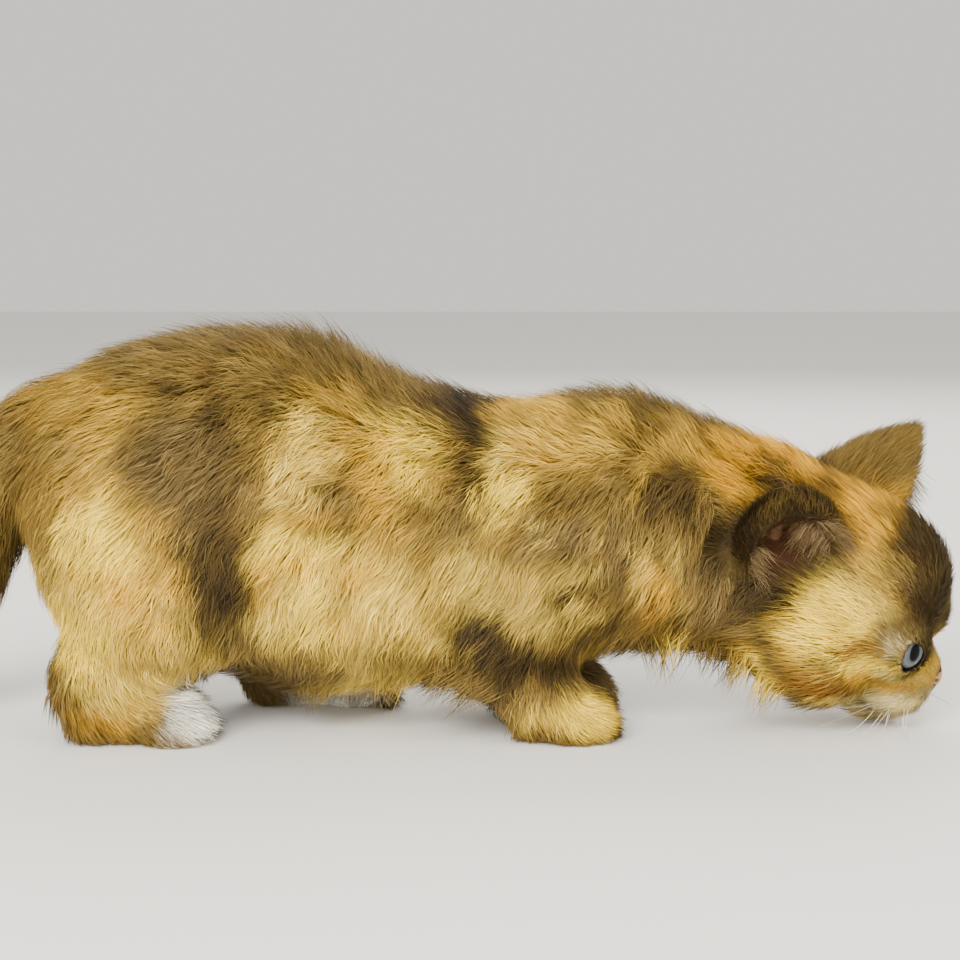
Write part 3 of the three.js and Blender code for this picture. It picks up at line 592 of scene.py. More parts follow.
class Socket:
    """An output of a node, so that sums can be written as Python."""

    def __init__(self, finish, output):
        self.finish, self.output = finish, output

    def sum(self, operation, a, b):
        return self.finish.node("ShaderNodeMath", {"operation": operation}, {0: a, 1: b})

    def __add__(self, other):
        return self.sum("ADD", self, other)

    def __sub__(self, other):
        return self.sum("SUBTRACT", self, other)

    def __rsub__(self, other):
        return self.sum("SUBTRACT", other, self)

    def __mul__(self, other):
        return self.sum("MULTIPLY", self, other)

    def __truediv__(self, other):
        return self.sum("DIVIDE", self, other)

    __radd__ = __add__
    __rmul__ = __mul__


class Finish:
    """A material, built node by node."""

    def __init__(self, name, **constants):
        self.material = bpy.data.materials.new(name)
        self.material.use_nodes = True
        self.tree = self.material.node_tree
        self.shader = self.tree.nodes["Principled BSDF"]
        self.set(self.shader, constants)

    def set(self, node, sockets):
        for key, value in sockets.items():
            socket = node.inputs[key]
            if isinstance(value, Socket):
                self.tree.links.new(value.output, socket)
            elif isinstance(value, tuple) and len(value) < len(socket.default_value):
                socket.default_value = (*value, 1)
            else:
                socket.default_value = value

    def node(self, kind, settings, sockets, output=0):
        node = self.tree.nodes.new(kind)
        for key, value in settings.items():
            if key == "stops":
                ramp = node.color_ramp.elements
                while len(ramp) < len(value):
                    ramp.new(0.5)
                for stop, (position, colour) in zip(ramp, value):
                    stop.position, stop.color = position, (*colour, 1)
            else:
                setattr(node, key, value)
        self.set(node, sockets)
        return Socket(self, node.outputs[output])

    def attribute(self, name, output):
        return self.node("ShaderNodeAttribute", {"attribute_name": name}, {}, output)

    def mix(self, factor, a, b, blend="MIX"):
        settings = {"data_type": "RGBA", "blend_type": blend}
        return self.node("ShaderNodeMix", settings, {"Factor": factor, 6: a, 7: b}, 2)

    def noise(self, scale, detail=3, place=None):
        sockets = {"Scale": scale, "Detail": detail}
        if place:
            sockets["Vector"] = place
        return self.node("ShaderNodeTexNoise", {}, sockets, 0)

    def finished(self, **sockets):
        self.set(self.shader, {key.replace("_", " "): value for key, value in sockets.items()})
        return self.material


def paint(piece, name, values, kind="FLOAT_COLOR"):
    """Stores a colour, a number or a place at each point of a piece, for its material to read."""
    values = np.asarray(values, np.float32)
    if kind == "FLOAT_COLOR":
        values = np.column_stack([values, np.ones(len(values), np.float32)])
    key = {"FLOAT": "value", "FLOAT_COLOR": "color", "FLOAT_VECTOR": "vector"}[kind]
    piece.data.attributes.new(name, kind, "POINT").data.foreach_set(key, values.ravel())


hide = Finish("skin", Roughness=0.6)
place = hide.node("ShaderNodeTexCoord", {}, {}, "Object")
mottle = hide.noise(900, 4, place)
fine = hide.noise(2500, 2, place)
coat_colour = hide.attribute("marking", "Color")
bare = hide.attribute("bare", "Color")
bareness = hide.attribute("bareness", "Fac")
# Painted shade: the skin under the coat takes its marking's colour darkened to about two fifths, for
# the shade deep in the coat, lifted back towards the marking in soft noisy places.
shade = hide.mix(1, coat_colour, (0.42, 0.40, 0.38), "MULTIPLY")
shade = hide.mix(mottle * 0.5, shade, coat_colour)
shade = hide.mix(bareness, shade, bare)
relief = {"Strength": 0.35, "Distance": 0.0003, "Height": fine + mottle}
pores = hide.node("ShaderNodeBump", {}, relief)
hide_material = hide.finished(
    Base_Color=shade, Normal=pores, Roughness=0.55 + mottle * 0.3, Specular_IOR_Level=0.18
)

skin = mesh_piece("skin", metres(skin_points), skin_quads, hide_material)
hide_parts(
    "head", "neck", "torso", "tail_base", "tail_tip", "ear_right", "ear_left",
    *[f"{end}_{side}_{part}" for end in ("fore", "hind") for side in ("right", "left")
      for part in ("leg", "paw")],
)
seed = np.random.default_rng(5)
paint(skin, "marking", markings(skin_points, seed)[:, 0])
q = in_head(skin_points)
ear_places = {s: in_ear(q, s) for s in (-1, 1)}
in_cup = np.zeros(len(q))
on_ear = np.zeros(len(q), bool)
for s, e in ear_places.items():
    rise = (e[:, 2] > 2) & (e[:, 2] < 31) & (np.abs(e[:, 1]) < 14.5) & (np.abs(e[:, 0]) < 10.5)
    depth = -ear_shell(e, EAR_WIDTH, EAR_DEPTH, EAR_HEIGHT)
    inner = (rise & (ear_cup(e) < 0.5)) * np.clip((depth - 0.4) / 0.6, 0, 1)
    in_cup = np.maximum(in_cup, inner * np.clip((CUP_HEIGHT - e[:, 2]) / 5, 0, 1))
    on_ear |= rise & (ear(q, s) < 1.5)
rim = np.full(len(q), 99.0)
for s in (-1, 1):
    e = in_eye(q, s)
    close = (np.sqrt((e * e).sum(1)) < EYE_RADIUS + 3) & (e[:, 0] > 0)
    rim = np.where(close, np.minimum(rim, almond(e, s)), rim)
on_lips = lips(q)
by_nose = np.sqrt(((q - NOSE_AT) ** 2).sum(1)) - 2.9
lid = np.clip((0.8 - rim) / 0.5, 0, 1) * (rim < 50)
lip = np.clip(1.6 - on_lips, 0, 1)
bareness = np.maximum.reduce([in_cup * 0.9, lid, lip * 0.8, np.clip(1 - by_nose, 0, 1)])
# Bare skin is painted a near-black red-brown. In the ears' cups this is partly their own dark skin and
# partly painted shade in the hollow; the folds in the cups are painted lighter, partly a painted
# highlight on their ridges.
bare_colour = np.tile(np.array([0.05, 0.015, 0.0035]), (len(q), 1))
for s, e in ear_places.items():
    for a, b, r in EAR_FOLDS:
        near_fold = bone(mirrored(a, s), mirrored(b, s), r, r)(e, 0)
        bare_colour[near_fold < 0.4] = (0.16, 0.085, 0.04)
bare_colour[lid > 0] = (0.012, 0.008, 0.005)
bare_colour[lip > 0] = (0.10, 0.055, 0.035)
paint(skin, "bareness", bareness, "FLOAT")
paint(skin, "bare", bare_colour)

# An unwrap of the skin's own shape, which also gives each hair its place for baking.
bpy.context.view_layer.objects.active = skin
skin.select_set(True)
skin.data.uv_layers.new(name="OFBake")
bpy.ops.object.mode_set(mode="EDIT")
bpy.ops.mesh.select_all(action="SELECT")
bpy.ops.uv.smart_project(angle_limit=math.radians(66), island_margin=0.001)
bpy.ops.object.mode_set(mode="OBJECT")
skin.select_set(False)
skin_uv = np.empty(len(skin_quads) * 8, np.float32)
skin.data.uv_layers["OFBake"].uv.foreach_get("vector", skin_uv)
skin_uv = skin_uv.reshape(-1, 4, 2)

# Eyes: wet balls that sit in the skull behind the lids, each with the clear bulge of the cornea
# over a blue-grey iris and a dark, slightly narrow pupil, turned out and up from the lowered head.
EYE_GAZE, EYE_LIFT = 39, 20


def eye_shape(s, rings=72, sides=72):
    turns = np.linspace(0, 2 * math.pi, sides, endpoint=False)
    tilt = np.linspace(0, math.pi, rings + 1)[1:-1]
    bulge = 0.6 * np.exp(-((tilt / 0.72) ** 4))
    radius = (EYE_RADIUS - 0.3) + bulge
    x = np.outer(np.cos(tilt) * radius, np.ones(sides))
    y = np.outer(np.sin(tilt) * radius, np.cos(turns))
    z = np.outer(np.sin(tilt) * radius, np.sin(turns))
    local = np.stack([x, y, z], -1).reshape(-1, 3)
    local = np.vstack([local, [radius[0] + 0.01, 0, 0], [-radius[-1], 0, 0]])
    angle = np.append(np.repeat(tilt, sides), [0, math.pi])
    around = np.append(np.tile(turns, len(tilt)), [0, 0])
    faces = []
    for i in range(len(tilt) - 1):
        for j in range(sides):
            a, b = i * sides + j, i * sides + (j + 1) % sides
            faces += [(a, a + sides, b + sides), (a, b + sides, b)]
    end = len(tilt) * sides
    for j in range(sides):
        k = (j + 1) % sides
        faces += [(end, j, k), (end + 1, end - sides + k, end - sides + j)]
    look = turned("Z", s * EYE_GAZE) @ turned("Y", -EYE_LIFT)
    slit = np.sqrt((1.5 * np.cos(around)) ** 2 + np.sin(around) ** 2)
    round_off = np.clip((angle - 0.2) / 0.35, 0, 1)
    angle = angle * (slit * (1 - round_off) + round_off)
    return out_of_head(local @ look.T + mirrored(EYE_AT, s)), np.array(faces), angle, around


wet = Finish("eye_wet", Roughness=0.08)
angle = wet.attribute("angle", "Fac")
streaks = wet.noise(1, 3, wet.attribute("fibres", "Vector"))
iris = wet.mix(streaks, (0.045, 0.052, 0.056), (0.16, 0.175, 0.18))
PUPIL = (0.003, 0.003, 0.004)
rings = {"stops": [(0.0, PUPIL), (0.22, PUPIL), (0.26, (0.5, 0.55, 0.55)), (0.38, (1, 1, 1)),
                   (0.45, (0.6, 0.6, 0.65)), (0.51, (0.05, 0.04, 0.04)),
                   (0.80, (0.10, 0.08, 0.07)), (1, (0.20, 0.15, 0.13))]}
iris = wet.mix(1, iris, wet.node("ShaderNodeValToRGB", rings, {0: angle / 1.25}), "MULTIPLY")
eye_material = wet.finished(
    Base_Color=iris, Roughness=0.06 + streaks * 0.05,
    Specular_IOR_Level=0.03, Coat_Weight=0.1, Coat_Roughness=0.02,
)
for side, s in (("right", -1), ("left", 1)):
    points, faces, angles, around = eye_shape(s)
    eye = mesh_piece("eyeball_" + side, metres(points), faces, eye_material)
    paint(eye, "angle", angles, "FLOAT")
    fibres = np.stack([np.cos(around) * 9, np.sin(around) * 9, angles * 2.5], 1)
    paint(eye, "fibres", fibres, "FLOAT_VECTOR")
    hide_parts("eye_" + side)

# Nose leather: a moist, pebbled wedge with a comma-shaped nostril at each side and a groove down
# its middle.
nose_form = blend(
    1.6,
    ellipsoid([30.1, -1.7, -6.7], [1.9, 2.1, 1.6]),
    ellipsoid([30.1, 1.7, -6.7], [1.9, 2.1, 1.6]),
    ellipsoid([30.3, 0, -7.9], [1.9, 1.4, 2.1]),
)


def nose_field(q):
    form = nose_form(q, 0)
    for s in (-1, 1):
        pit = bone([32.3, s * 1.3, -7.0], [31.0, s * 3.1, -6.3], 0.55, 0.34)(q, 0)
        form = -soft_min(-form, pit, 0.3)
    cleft = bone([32.3, 0, -6.4], [32.0, 0, -10.6], 0.2, 0.2)(q, 0)
    return -soft_min(-form, cleft, 0.25)


xs, ys, zs = np.arange(26.5, 34, 0.16), np.arange(-5.5, 5.6, 0.16), np.arange(-11.6, -3.6, 0.16)
nose_points, nose_quads = surface(xs, ys, zs, nose_field)
leather = Finish("nose_leather")
place = leather.node("ShaderNodeTexCoord", {}, {}, "Object")
pebbles = leather.node("ShaderNodeTexVoronoi", {}, {"Vector": place, "Scale": 2600})
blush = leather.noise(350, 3, place)
tint = leather.mix(blush, (0.25, 0.12, 0.025), (0.36, 0.19, 0.042))
relief = {"Strength": 0.5, "Distance": 0.00015, "Height": pebbles}
grain = leather.node("ShaderNodeBump", {}, relief)
nose_material = leather.finished(Base_Color=tint, Normal=grain, Roughness=0.28 + blush * 0.2)
nose = mesh_piece("nose_leather", metres(out_of_head(nose_points)), nose_quads, nose_material)
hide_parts("nose")

# The coat: short, dense hair on the face, ears and feet, and a soft longer coat of three kinds
# of hair elsewhere. Hairs stand in small wisps, follow the lie, and end at the coat's own depth.


def both_sides(rows):
    """Rows of the table below, and those beside the middle once for each side."""
    for at, lie, *rest in rows:
        for s in (-1, 1) if at[1] else (1,):
            yield mirrored(at, s), mirrored(lie, s), rest


def body_rows(*rows):
    return [(at, lie, *rest, BODY_REACH) for at, lie, rest in both_sides(rows)]


def head_rows(*rows):
    """Rows that are given in the head's own frame."""
    return [(out_of_head(at), head_turn @ lie, *rest, HEAD_REACH) for at, lie, rest in both_sides(rows)]


def ear_rows():
    """Hair that runs up the back and the edges of each ear."""
    out = []
    for s in EARS:
        for x, y, z in ((-6, 0, 8), (-4, 0, 20), (0, 10, 12), (0, -10, 12), (-2, 0, 27)):
            at = out_of_head(mirrored(EARS[s][0], s) + ear_turn(s) @ [x, y, z])
            way = head_turn @ ear_turn(s) @ [x * 0.02, y * 0.03, 1]
            out.append((at, way, 4.6 if z > 10 else 7, 1, HEAD_REACH))
    return out


def tail_rows():
    """Hair that follows the tail, longest at its end."""
    joints = np.array([at for at, _, _ in TAIL])
    ways = np.diff(joints, axis=0)
    rows = [(at, way, 14, 1, BODY_REACH) for at, way in zip(joints, ways)]
    return rows + [(joints[-1], ways[-1], 19, 1, BODY_REACH)]


BODY_REACH, HEAD_REACH = 5, 2.5  # how far a row of the table rules by itself
LIE = body_rows(  # place, way the hair lies, length, height of its tip as a share of the coat
    ([-116, 0, 94], [-0.7, 0, -0.7], 13, 1.1),
    ([-90, 0, 103], [-0.95, 0, -0.2], 12, 1.1),
    ([-55, 0, 105], [-1, 0, 0.05], 11, 1.25),
    ([-32, 0, 98], [-0.8, 0, 0.6], 12, 1.75),
    ([-10, 0, 91], [-0.8, 0, 0.5], 11.5, 1.6),
    ([20, 0, 88], [-1, 0, 0.1], 10, 1.1),
    ([44, 0, 82], [-0.7, 0, 0.8], 10.5, 1.4),
    ([30, 13, 84], [-0.7, 0, 0.5], 10.5, 1.2),
    ([52, 12, 79], [-0.55, 0, 0.8], 11, 1.3),
    ([62, 0, 78], [-0.8, 0, 0.6], 10, 1.2),
    ([78, 0, 72], [-1, 0, 0.2], 10, 1),
    ([-105, 34, 72], [-0.6, 0, -0.8], 13, 1),
    ([-60, 40, 72], [-0.65, 0, -0.75], 12, 1),
    ([-50, 38, 40], [-0.5, 0, -0.87], 13, 1),
    ([-10, 34, 66], [-0.6, 0, -0.8], 12, 1),
    ([-10, 32, 36], [-0.5, 0, -0.87], 13, 1.1),
    ([30, 30, 62], [-0.5, 0, -0.87], 11.5, 1.05),
    ([28, 28, 34], [-0.6, 0, -0.8], 12, 1),
    ([50, 26, 58], [-0.35, 0, -0.93], 12, 1.05),
    ([62, 24, 40], [-0.25, 0, -0.97], 14, 1.25),
    ([58, 14, 24], [-0.3, 0, -0.95], 14, 1.6),
    ([-60, 0, 14], [-1, 0, -0.1], 14, 1.5),
    ([-30, 0, 10], [-1, 0, -0.1], 14, 1.5),
    ([0, 0, 12], [-1, 0, -0.1], 14, 1.4),
    ([-35, 20, 14], [-0.5, 0, -0.87], 15, 1.5),
    ([0, 20, 15], [-0.6, 0, -0.8], 15, 1.35),
    ([25, 0, 20], [-0.9, 0, -0.3], 15, 1.2),
    ([-88, 36, 46], [-0.5, 0, -0.86], 12, 1),
    ([-78, 30, 26], [-0.4, 0, -0.9], 11, 1),
    ([-108, 22, 26], [-0.1, 0, -1], 10, 1),
    ([-58, 28, 32], [-0.5, 0, -0.86], 11, 1),
    ([-98, 24, 12], [0.5, 0, -0.86], 8, 1),
    ([-84, 26, 12], [0.9, 0, -0.4], 6, 1),
    ([-72, 24, 8], [0.9, 0, -0.4], 3.5, 1),
    ([-60, 28, 12], [0.5, 0, -0.86], 7, 1),
    ([-30, 26, 8], [0.9, 0, -0.4], 3.5, 1),
    ([2, 26, 26], [-0.75, 0, -0.65], 11, 1.1),
    ([16, 26, 22], [-0.5, 0, -0.86], 10, 1),
    ([16, 24, 12], [0.4, 0, -0.9], 6, 1),
    ([28, 24, 8], [0.9, 0, -0.4], 3.5, 1),
) + head_rows(
    ([29, 0, -2], [-1, 0, 0.5], 1.6, 1),
    ([25, 5, -2], [-1, 0.3, 0.5], 2.0, 1),
    ([22, 0, 5], [-1, 0, 0.6], 2.6, 1),
    ([14, 0, 17], [-1, 0, 0.5], 5.5, 1),
    ([2, 0, 23], [-1, 0, 0.1], 8, 1),
    ([-14, 6, 22], [-1, 0.1, 0], 12, 1),
    ([14, 12, 14], [-0.9, 0.3, 0.3], 5.5, 1),
    ([6, 20, 8], [-0.95, 0.1, 0.1], 7, 1),
    ([22, 15, 9], [-0.5, 0.5, 0.7], 3, 1),
    ([24, 8, 1], [-0.6, 0.2, 0.7], 2.6, 1),
    ([17, 20, -4], [-0.9, 0.3, -0.5], 4, 1),
    ([24, 13, -6], [-0.7, 0.6, -0.5], 3, 1),
    ([6, 24, -6], [-1, 0.1, -0.25], 8, 1),
    ([-10, 25, -4], [-0.95, 0.1, -0.4], 12, 1),
    ([27, 7, -11], [-0.6, 0.8, -0.3], 2.4, 1),
    ([20, 12, -15], [-0.8, 0.5, -0.4], 4, 1),
    ([27, 0, -17], [-0.7, 0, -0.7], 2.5, 1),
    ([18, 6, -21], [-0.9, 0, -0.3], 5, 1),
    ([0, 14, -20], [-0.7, 0.1, -0.7], 13, 1.2),
    ([-12, 16, -18], [-0.5, 0.1, -0.85], 16, 1.6),
) + ear_rows() + tail_rows()
lie_at = np.array([row[0] for row in LIE])
lie_way = unit(np.array([row[1] for row in LIE]))
lie_rest = np.array([row[2:4] for row in LIE])
lie_reach = np.array([row[4] for row in LIE])


def coat_at(p):
    """Which way the coat lies at each place, how long it is, and how far up its tips reach."""
    way, rest = np.empty((len(p), 3)), np.empty((len(p), 2))
    for i in range(0, len(p), 20000):
        block = p[i : i + 20000]
        off = ((block[:, None, :] - lie_at) ** 2).sum(2)
        weight = (off + lie_reach**2) ** -2.0
        weight /= weight.sum(1)[:, None]
        way[i : i + 20000] = weight @ lie_way
        rest[i : i + 20000] = weight @ lie_rest
    return unit(way), rest[:, 0], rest[:, 1]


# Two soft surfaces guide the hair: the skin, and the one that the tips reach.
GUIDE_STEP = 2.0
GUIDE_ENDS = ((-178, 130), (-50, 51), (-4, 114))
gx, gy, gz = [np.arange(least, most, GUIDE_STEP) for least, most in GUIDE_ENDS]
near_skin = field_on(gx, gy, gz, lambda p: whole(p, BODY_SKIN, HEAD_SKIN))
at_tips = field_on(gx, gy, gz, lambda p: whole(p, 1, 1))
slopes = np.gradient((near_skin + at_tips) / 2, GUIDE_STEP)
guides = np.stack([near_skin, at_tips, *slopes], -1)


def guide(p):
    """Distance from the skin and from the tips' surface, and the outward direction between them."""
    at = (p - [gx[0], gy[0], gz[0]]) / GUIDE_STEP
    low = np.clip(np.floor(at).astype(int), 0, np.array(guides.shape[:3]) - 2)
    t = np.clip(at - low, 0, 1)
    total = 0
    for corner in np.ndindex(2, 2, 2):
        share = np.abs(1 - np.array(corner) - t).prod(1)
        total = total + guides[tuple((low + corner).T)] * share[:, None]
    return total[:, 0], total[:, 1], unit(total[:, 2:])


corners = skin_points[skin_quads]
diagonals = corners[:, 2] - corners[:, 0], corners[:, 3] - corners[:, 1]
area = 0.5 * np.linalg.norm(np.cross(*diagonals), axis=1)
middles = corners.mean(1)
_, quad_long, _ = coat_at(middles)
quad_bare = bareness[skin_quads].mean(1)
quad_ear = on_ear[skin_quads].any(1)
hidden = middles[:, 2] < 1.2


def roots(count, weight, rng):
    """Hair roots spread over the skin: place, outward direction and place on the unwrap."""
    chance = np.cumsum(area * weight)
    pick = np.searchsorted(chance, (np.arange(count) + rng.random(count)) / count * chance[-1])
    pick = np.minimum(pick, len(area) - 1)
    u, v = rng.random((2, count))
    mixing = np.stack([(1 - u) * (1 - v), u * (1 - v), u * v, (1 - u) * v], 1)[:, :, None]
    at = (corners[pick] * mixing).sum(1)
    out = unit((skin_normals[skin_quads[pick]] * mixing).sum(1))
    return at, out, (skin_uv[pick] * mixing).sum(1)


def long_hairs(at, out, long, top, bend):
    """Middle lines of long hairs, that leave the skin and bend down into the lie of the coat."""
    p = at
    line = [at - out * 0.7]
    for share, step in ((0.5, 0.30), (0.82, 0.36), (1.0, 0.36)):
        way, _, _ = coat_at(p)
        _, _, normal = guide(p)
        way = way + ripple(p, 13, 11) * 0.34 + ripple(p, 42, 12) * 0.18
        way = unit(way - (way * normal).sum(1)[:, None] * normal)
        way = unit(way + np.cross(normal, way) * bend[:, None] * (step + share * 0.4))
        p = p + way * (long * step)[:, None]
        level = (share * top)[:, None]
        for _ in range(2):
            skin_off, tip_off, normal = guide(p)
            off = skin_off[:, None] * (1 - level) + tip_off[:, None] * level
            p = p - normal * off
        line.append(p)
    return np.stack(line, 1)


def short_hairs(at, out, long, rise, bend, bends=True):
    """Middle lines of short hairs, that lie close over the skin."""
    way, _, _ = coat_at(at)
    way = unit(way - (way * out).sum(1)[:, None] * out)
    way = unit(way + np.cross(out, way) * bend[:, None])
    first = at + way * (long * 0.5)[:, None] + out * (long * rise * 0.62)[:, None]
    last = at + way * long[:, None] + out * (long * rise)[:, None]
    return np.stack([at - out * 0.4, first, last] if bends else [at - out * 0.3, last], 1)


def tinted(lines, stray, rng):
    """Colour at each point of each hair: darkened by painted shade at the root, its marking's own tone
    at the tip.
    """
    shares = np.linspace(0, 1, lines.shape[1])
    banded = rng.random(len(lines))[:, None] < 0.72
    colours = []
    for i, t in enumerate(shares):
        both = markings(lines[:, i] * 0.8 + lines[:, -1] * 0.2 + stray, rng)
        tip = np.clip((t - 0.35) / 0.6, 0, 1) * banded
        # Painted shade deep in the coat: each hair is darkened to half at its root and back to full
        # brightness a little before its middle.
        colours.append((both[:, 0] * (1 - tip) + both[:, 1] * tip) * min(1, 0.5 + 1.1 * t))
    return np.stack(colours, 1)


def blade_faces(rings, root):
    """Triangles of one blade. Its root is a point, for root = 1, or else its first ring."""
    last = root + 3 * (rings - 1)
    faces = [(root + j, root + (j + 1) % 3, 0) for j in range(3)] if root else [(0, 1, 2)]
    for i in range(root, last, 3):
        for j in range(3):
            a, b = i + j, i + (j + 1) % 3
            faces += [(a, b + 3, b), (a, a + 3, b + 3)]
    return faces + [(last + j, last + 3, last + (j + 1) % 3) for j in range(3)]


def hair_piece(name, lines, out, widths, colours, uv, rng, material, shade=0, alone=0):
    """Joined hairs, each a closed three-sided blade drawn out to a point, long ones at both ends.

    A hair that stands alone is shaded all round, and one in the coat by the coat's own surface.
    """
    count, levels = lines.shape[:2]
    lines = lines.copy()
    lines[:, :, 2] = np.maximum(lines[:, :, 2], 0.3)
    along = np.gradient(lines, axis=1)
    across = unit(np.cross(out[:, None, :], along))
    up = unit(np.cross(along, across))
    roll = rng.normal(size=(count, 1, 1)) * 0.4
    cosine, sine = np.cos(roll), np.sin(roll)
    across, up = across * cosine + up * sine, up * cosine - across * sine
    first = 0 if levels == 2 else 1
    inner = slice(first, -1)
    t = np.linspace(0, 1, levels)
    taper = ((1 - t[inner]) ** 0.6)[None, :, None]
    wide = across[:, inner] * widths[:, None, None] * taper / 2
    high = np.linalg.norm(wide, axis=2)[:, :, None] * up[:, inner] * 0.6
    middle = lines[:, inner]
    rings = np.stack([middle + wide, middle - wide, middle + high], 2).reshape(count, -1, 3)
    points = np.concatenate([lines[:, :first], rings, lines[:, -1:]], 1)
    soft = up * 0.4 + out[:, None] * 0.55
    alone = np.broadcast_to(alone, count)[:, None, None]
    lean, level = across[:, inner] * (0.34 + 0.66 * alone), soft[:, inner]
    under = level * (1 - alone) - up[:, inner] * 0.7 * alone
    rings = np.stack([under + lean, under - lean, level], 2).reshape(count, -1, 3)
    normals = np.concatenate([soft[:, :first], rings, soft[:, -1:]], 1)
    each = points.shape[1]
    pattern = np.array(blade_faces(levels - 1 - first, first))
    faces = (pattern[None] + (np.arange(count) * each)[:, None, None]).reshape(-1, 3)
    piece = mesh_piece(name, metres(points.reshape(-1, 3)), faces, material)
    piece.data.normals_split_custom_set_from_vertices(unit(normals.reshape(-1, 3)).tolist())
    repeats = [1] * first + [3] * (levels - 1 - first) + [1]
    t = np.repeat(t, repeats)
    sides = np.array([0] * first + [1, -1, 0] * (levels - 1 - first) + [0])
    paint(piece, "tone", np.repeat(rng.normal(size=count) * 0.5 + shade, each), "FLOAT")
    paint(piece, "hair", np.repeat(colours, repeats, 1).reshape(-1, 3))
    own = rng.random((count, 2)) * 60
    each_own = own.sum(1)[:, None] + 0 * t
    strand = np.stack([sides * 1.3 + own[:, :1], t * 0.9 + own[:, 1:], each_own], -1)
    paint(piece, "strand", strand, "FLOAT_VECTOR")
    place = np.stack([uv[:, None, 0] + sides * 0.0015, uv[:, None, 1] + (t - 0.5) * 0.003], -1)
    loops = place.reshape(-1, 2)[faces.ravel()].astype(np.float32)
    piece.data.uv_layers.new(name="OFBake").uv.foreach_set("vector", loops.ravel())
    return piece


fur = Finish("fur", Roughness=0.6)
tone = fur.attribute("tone", "Fac")
strands = fur.noise(1, 2, fur.attribute("strand", "Vector"))
hair = fur.mix(1, fur.attribute("hair", "Color"), 0.60 + strands * 0.78 + tone * 0.14, "MULTIPLY")
fur_material = fur.finished(Base_Color=hair, Roughness=0.6 + strands * 0.2, Specular_IOR_Level=0.2)

body_weight = (quad_long >= 9) * (1 - quad_bare) * ~quad_ear * ~hidden * (1.15 - quad_long / 90)
WISPS = 3600
wisps, wisp_out, _ = roots(WISPS, body_weight, np.random.default_rng(7))
_, wisp_long, wisp_top = coat_at(wisps)
wisp_rng = np.random.default_rng(8)
wisp_size = wisp_rng.uniform(0.75, 1.15, WISPS)
wisp_size = wisp_size + (wisps[:, 2] < 36) * wisp_rng.uniform(-0.1, 0.25, WISPS)
wisp_bend = wisp_rng.normal(size=WISPS) * 0.34
wisp_shade = wisp_rng.normal(size=WISPS) * 1.15
wisp_stray = wisp_rng.normal(size=(WISPS, 3)) * 1.5
wisp_lines = long_hairs(wisps, wisp_out, wisp_long * wisp_size, wisp_top * wisp_size, wisp_bend)
tree = kdtree.KDTree(WISPS)
for i, p in enumerate(wisps):
    tree.insert(p, i)
tree.balance()

LAYERS = [  # name, hairs, length, height of the tips, width in mm, drawn into wisps, its points
    ("undercoat", 33000, (0.5, 0.9), (0.3, 0.7), 0.8, 0.3, [0, 1, 3]),
    ("cover_coat_1", 33000, (0.6, 1.1), (0.5, 0.95), 0.44, 0.45, [0, 2, 3]),
    ("cover_coat_2", 33000, (0.6, 1.1), (0.6, 1.0), 0.38, 0.5, [0, 1, 3]),
    ("cover_coat_3", 33000, (0.7, 1.2), (0.7, 1.1), 0.38, 0.6, [0, 2, 3]),
    ("guard_hair", 16500, (0.9, 1.5), (0.85, 1.4), 0.25, 0.45, [0, 1, 2, 3]),
]
for number, (name, count, lengths, heights, width, drawn, points) in enumerate(LAYERS):
    rng = np.random.default_rng(20 + number)
    at, out, uv = roots(count, body_weight, rng)
    _, long, top = coat_at(at)
    size = rng.uniform(*lengths, count)
    tips = top * rng.uniform(*heights, count)
    lines = long_hairs(at, out, long * size, tips, rng.normal(size=count) * 0.42)
    near = np.array([tree.find(p)[1] for p in at])
    pull = drawn * rng.uniform(0.4, 1.2, count)[:, None, None]
    pull = pull * np.array([0, 0.3, 0.7, 1])[None, :, None]
    lines = (lines + (wisp_lines[near] - lines) * np.clip(pull, 0, 0.9))[:, points]
    hair_width = width * rng.uniform(0.7, 1.3, count) * np.clip(long / 14, 0.6, 1.15)
    colours = tinted(lines, wisp_stray[near], rng)
    shade = wisp_shade[near]
    piece = hair_piece(name, lines, out, hair_width, colours, uv, rng, fur_material, shade)

TUFTS = [  # hair gathered to hanging points under the throat, at the elbows and under the belly
    ([49, 12, 27], [46, 12, 15]),
    ([60, 11, 25], [57, 11, 17]),
    ([68, 13, 23], [64, 13, 12]),
    ([77, 16, 19], [72, 16, 8.5]),
    ([-5, 25, 21], [-13, 25, 12]),
    ([2, 28, 19], [-6, 28, 10]),
    ([-20, 17, 18], [-25, 17, 10]),
    ([-38, 16, 16], [-44, 16, 8]),
]
HAIRS_IN_TUFT = 85
rng = np.random.default_rng(55)
sides = np.repeat([-1, 1], len(TUFTS) * HAIRS_IN_TUFT)[:, None] * [0, 1, 0] + [1, 0, 1]
ends = np.tile(np.repeat(np.array(TUFTS), HAIRS_IN_TUFT, 0), (2, 1, 1)) * sides[:, None]
at = ends[:, 0] + rng.normal(size=(len(ends), 3)) * [4, 2.6, 1.5]
tip = ends[:, 1] + rng.normal(size=(len(ends), 3)) * [2.3, 1.6, 2.2]
tip = tip + sides * rng.uniform(-0.3, 0.3, (len(ends), 1))
for _ in range(3):
    skin_off, _, out = guide(at)
    at = at - out * skin_off[:, None]
bow = at * 0.5 + tip * 0.5 + out * rng.uniform(0.3, 1.8, (len(at), 1))
lines = np.stack([at - out * 0.5, bow, tip], 1)
uv = np.array([skin_uv[np.argmin(((middles - p) ** 2).sum(1)), 0] for p in at])
colours = tinted(lines, rng.normal(size=(len(at), 3)), rng)
widths = rng.uniform(0.25, 0.45, len(at))
tufts = hair_piece("hanging_tufts", lines, out, widths, colours, uv, rng, fur_material)

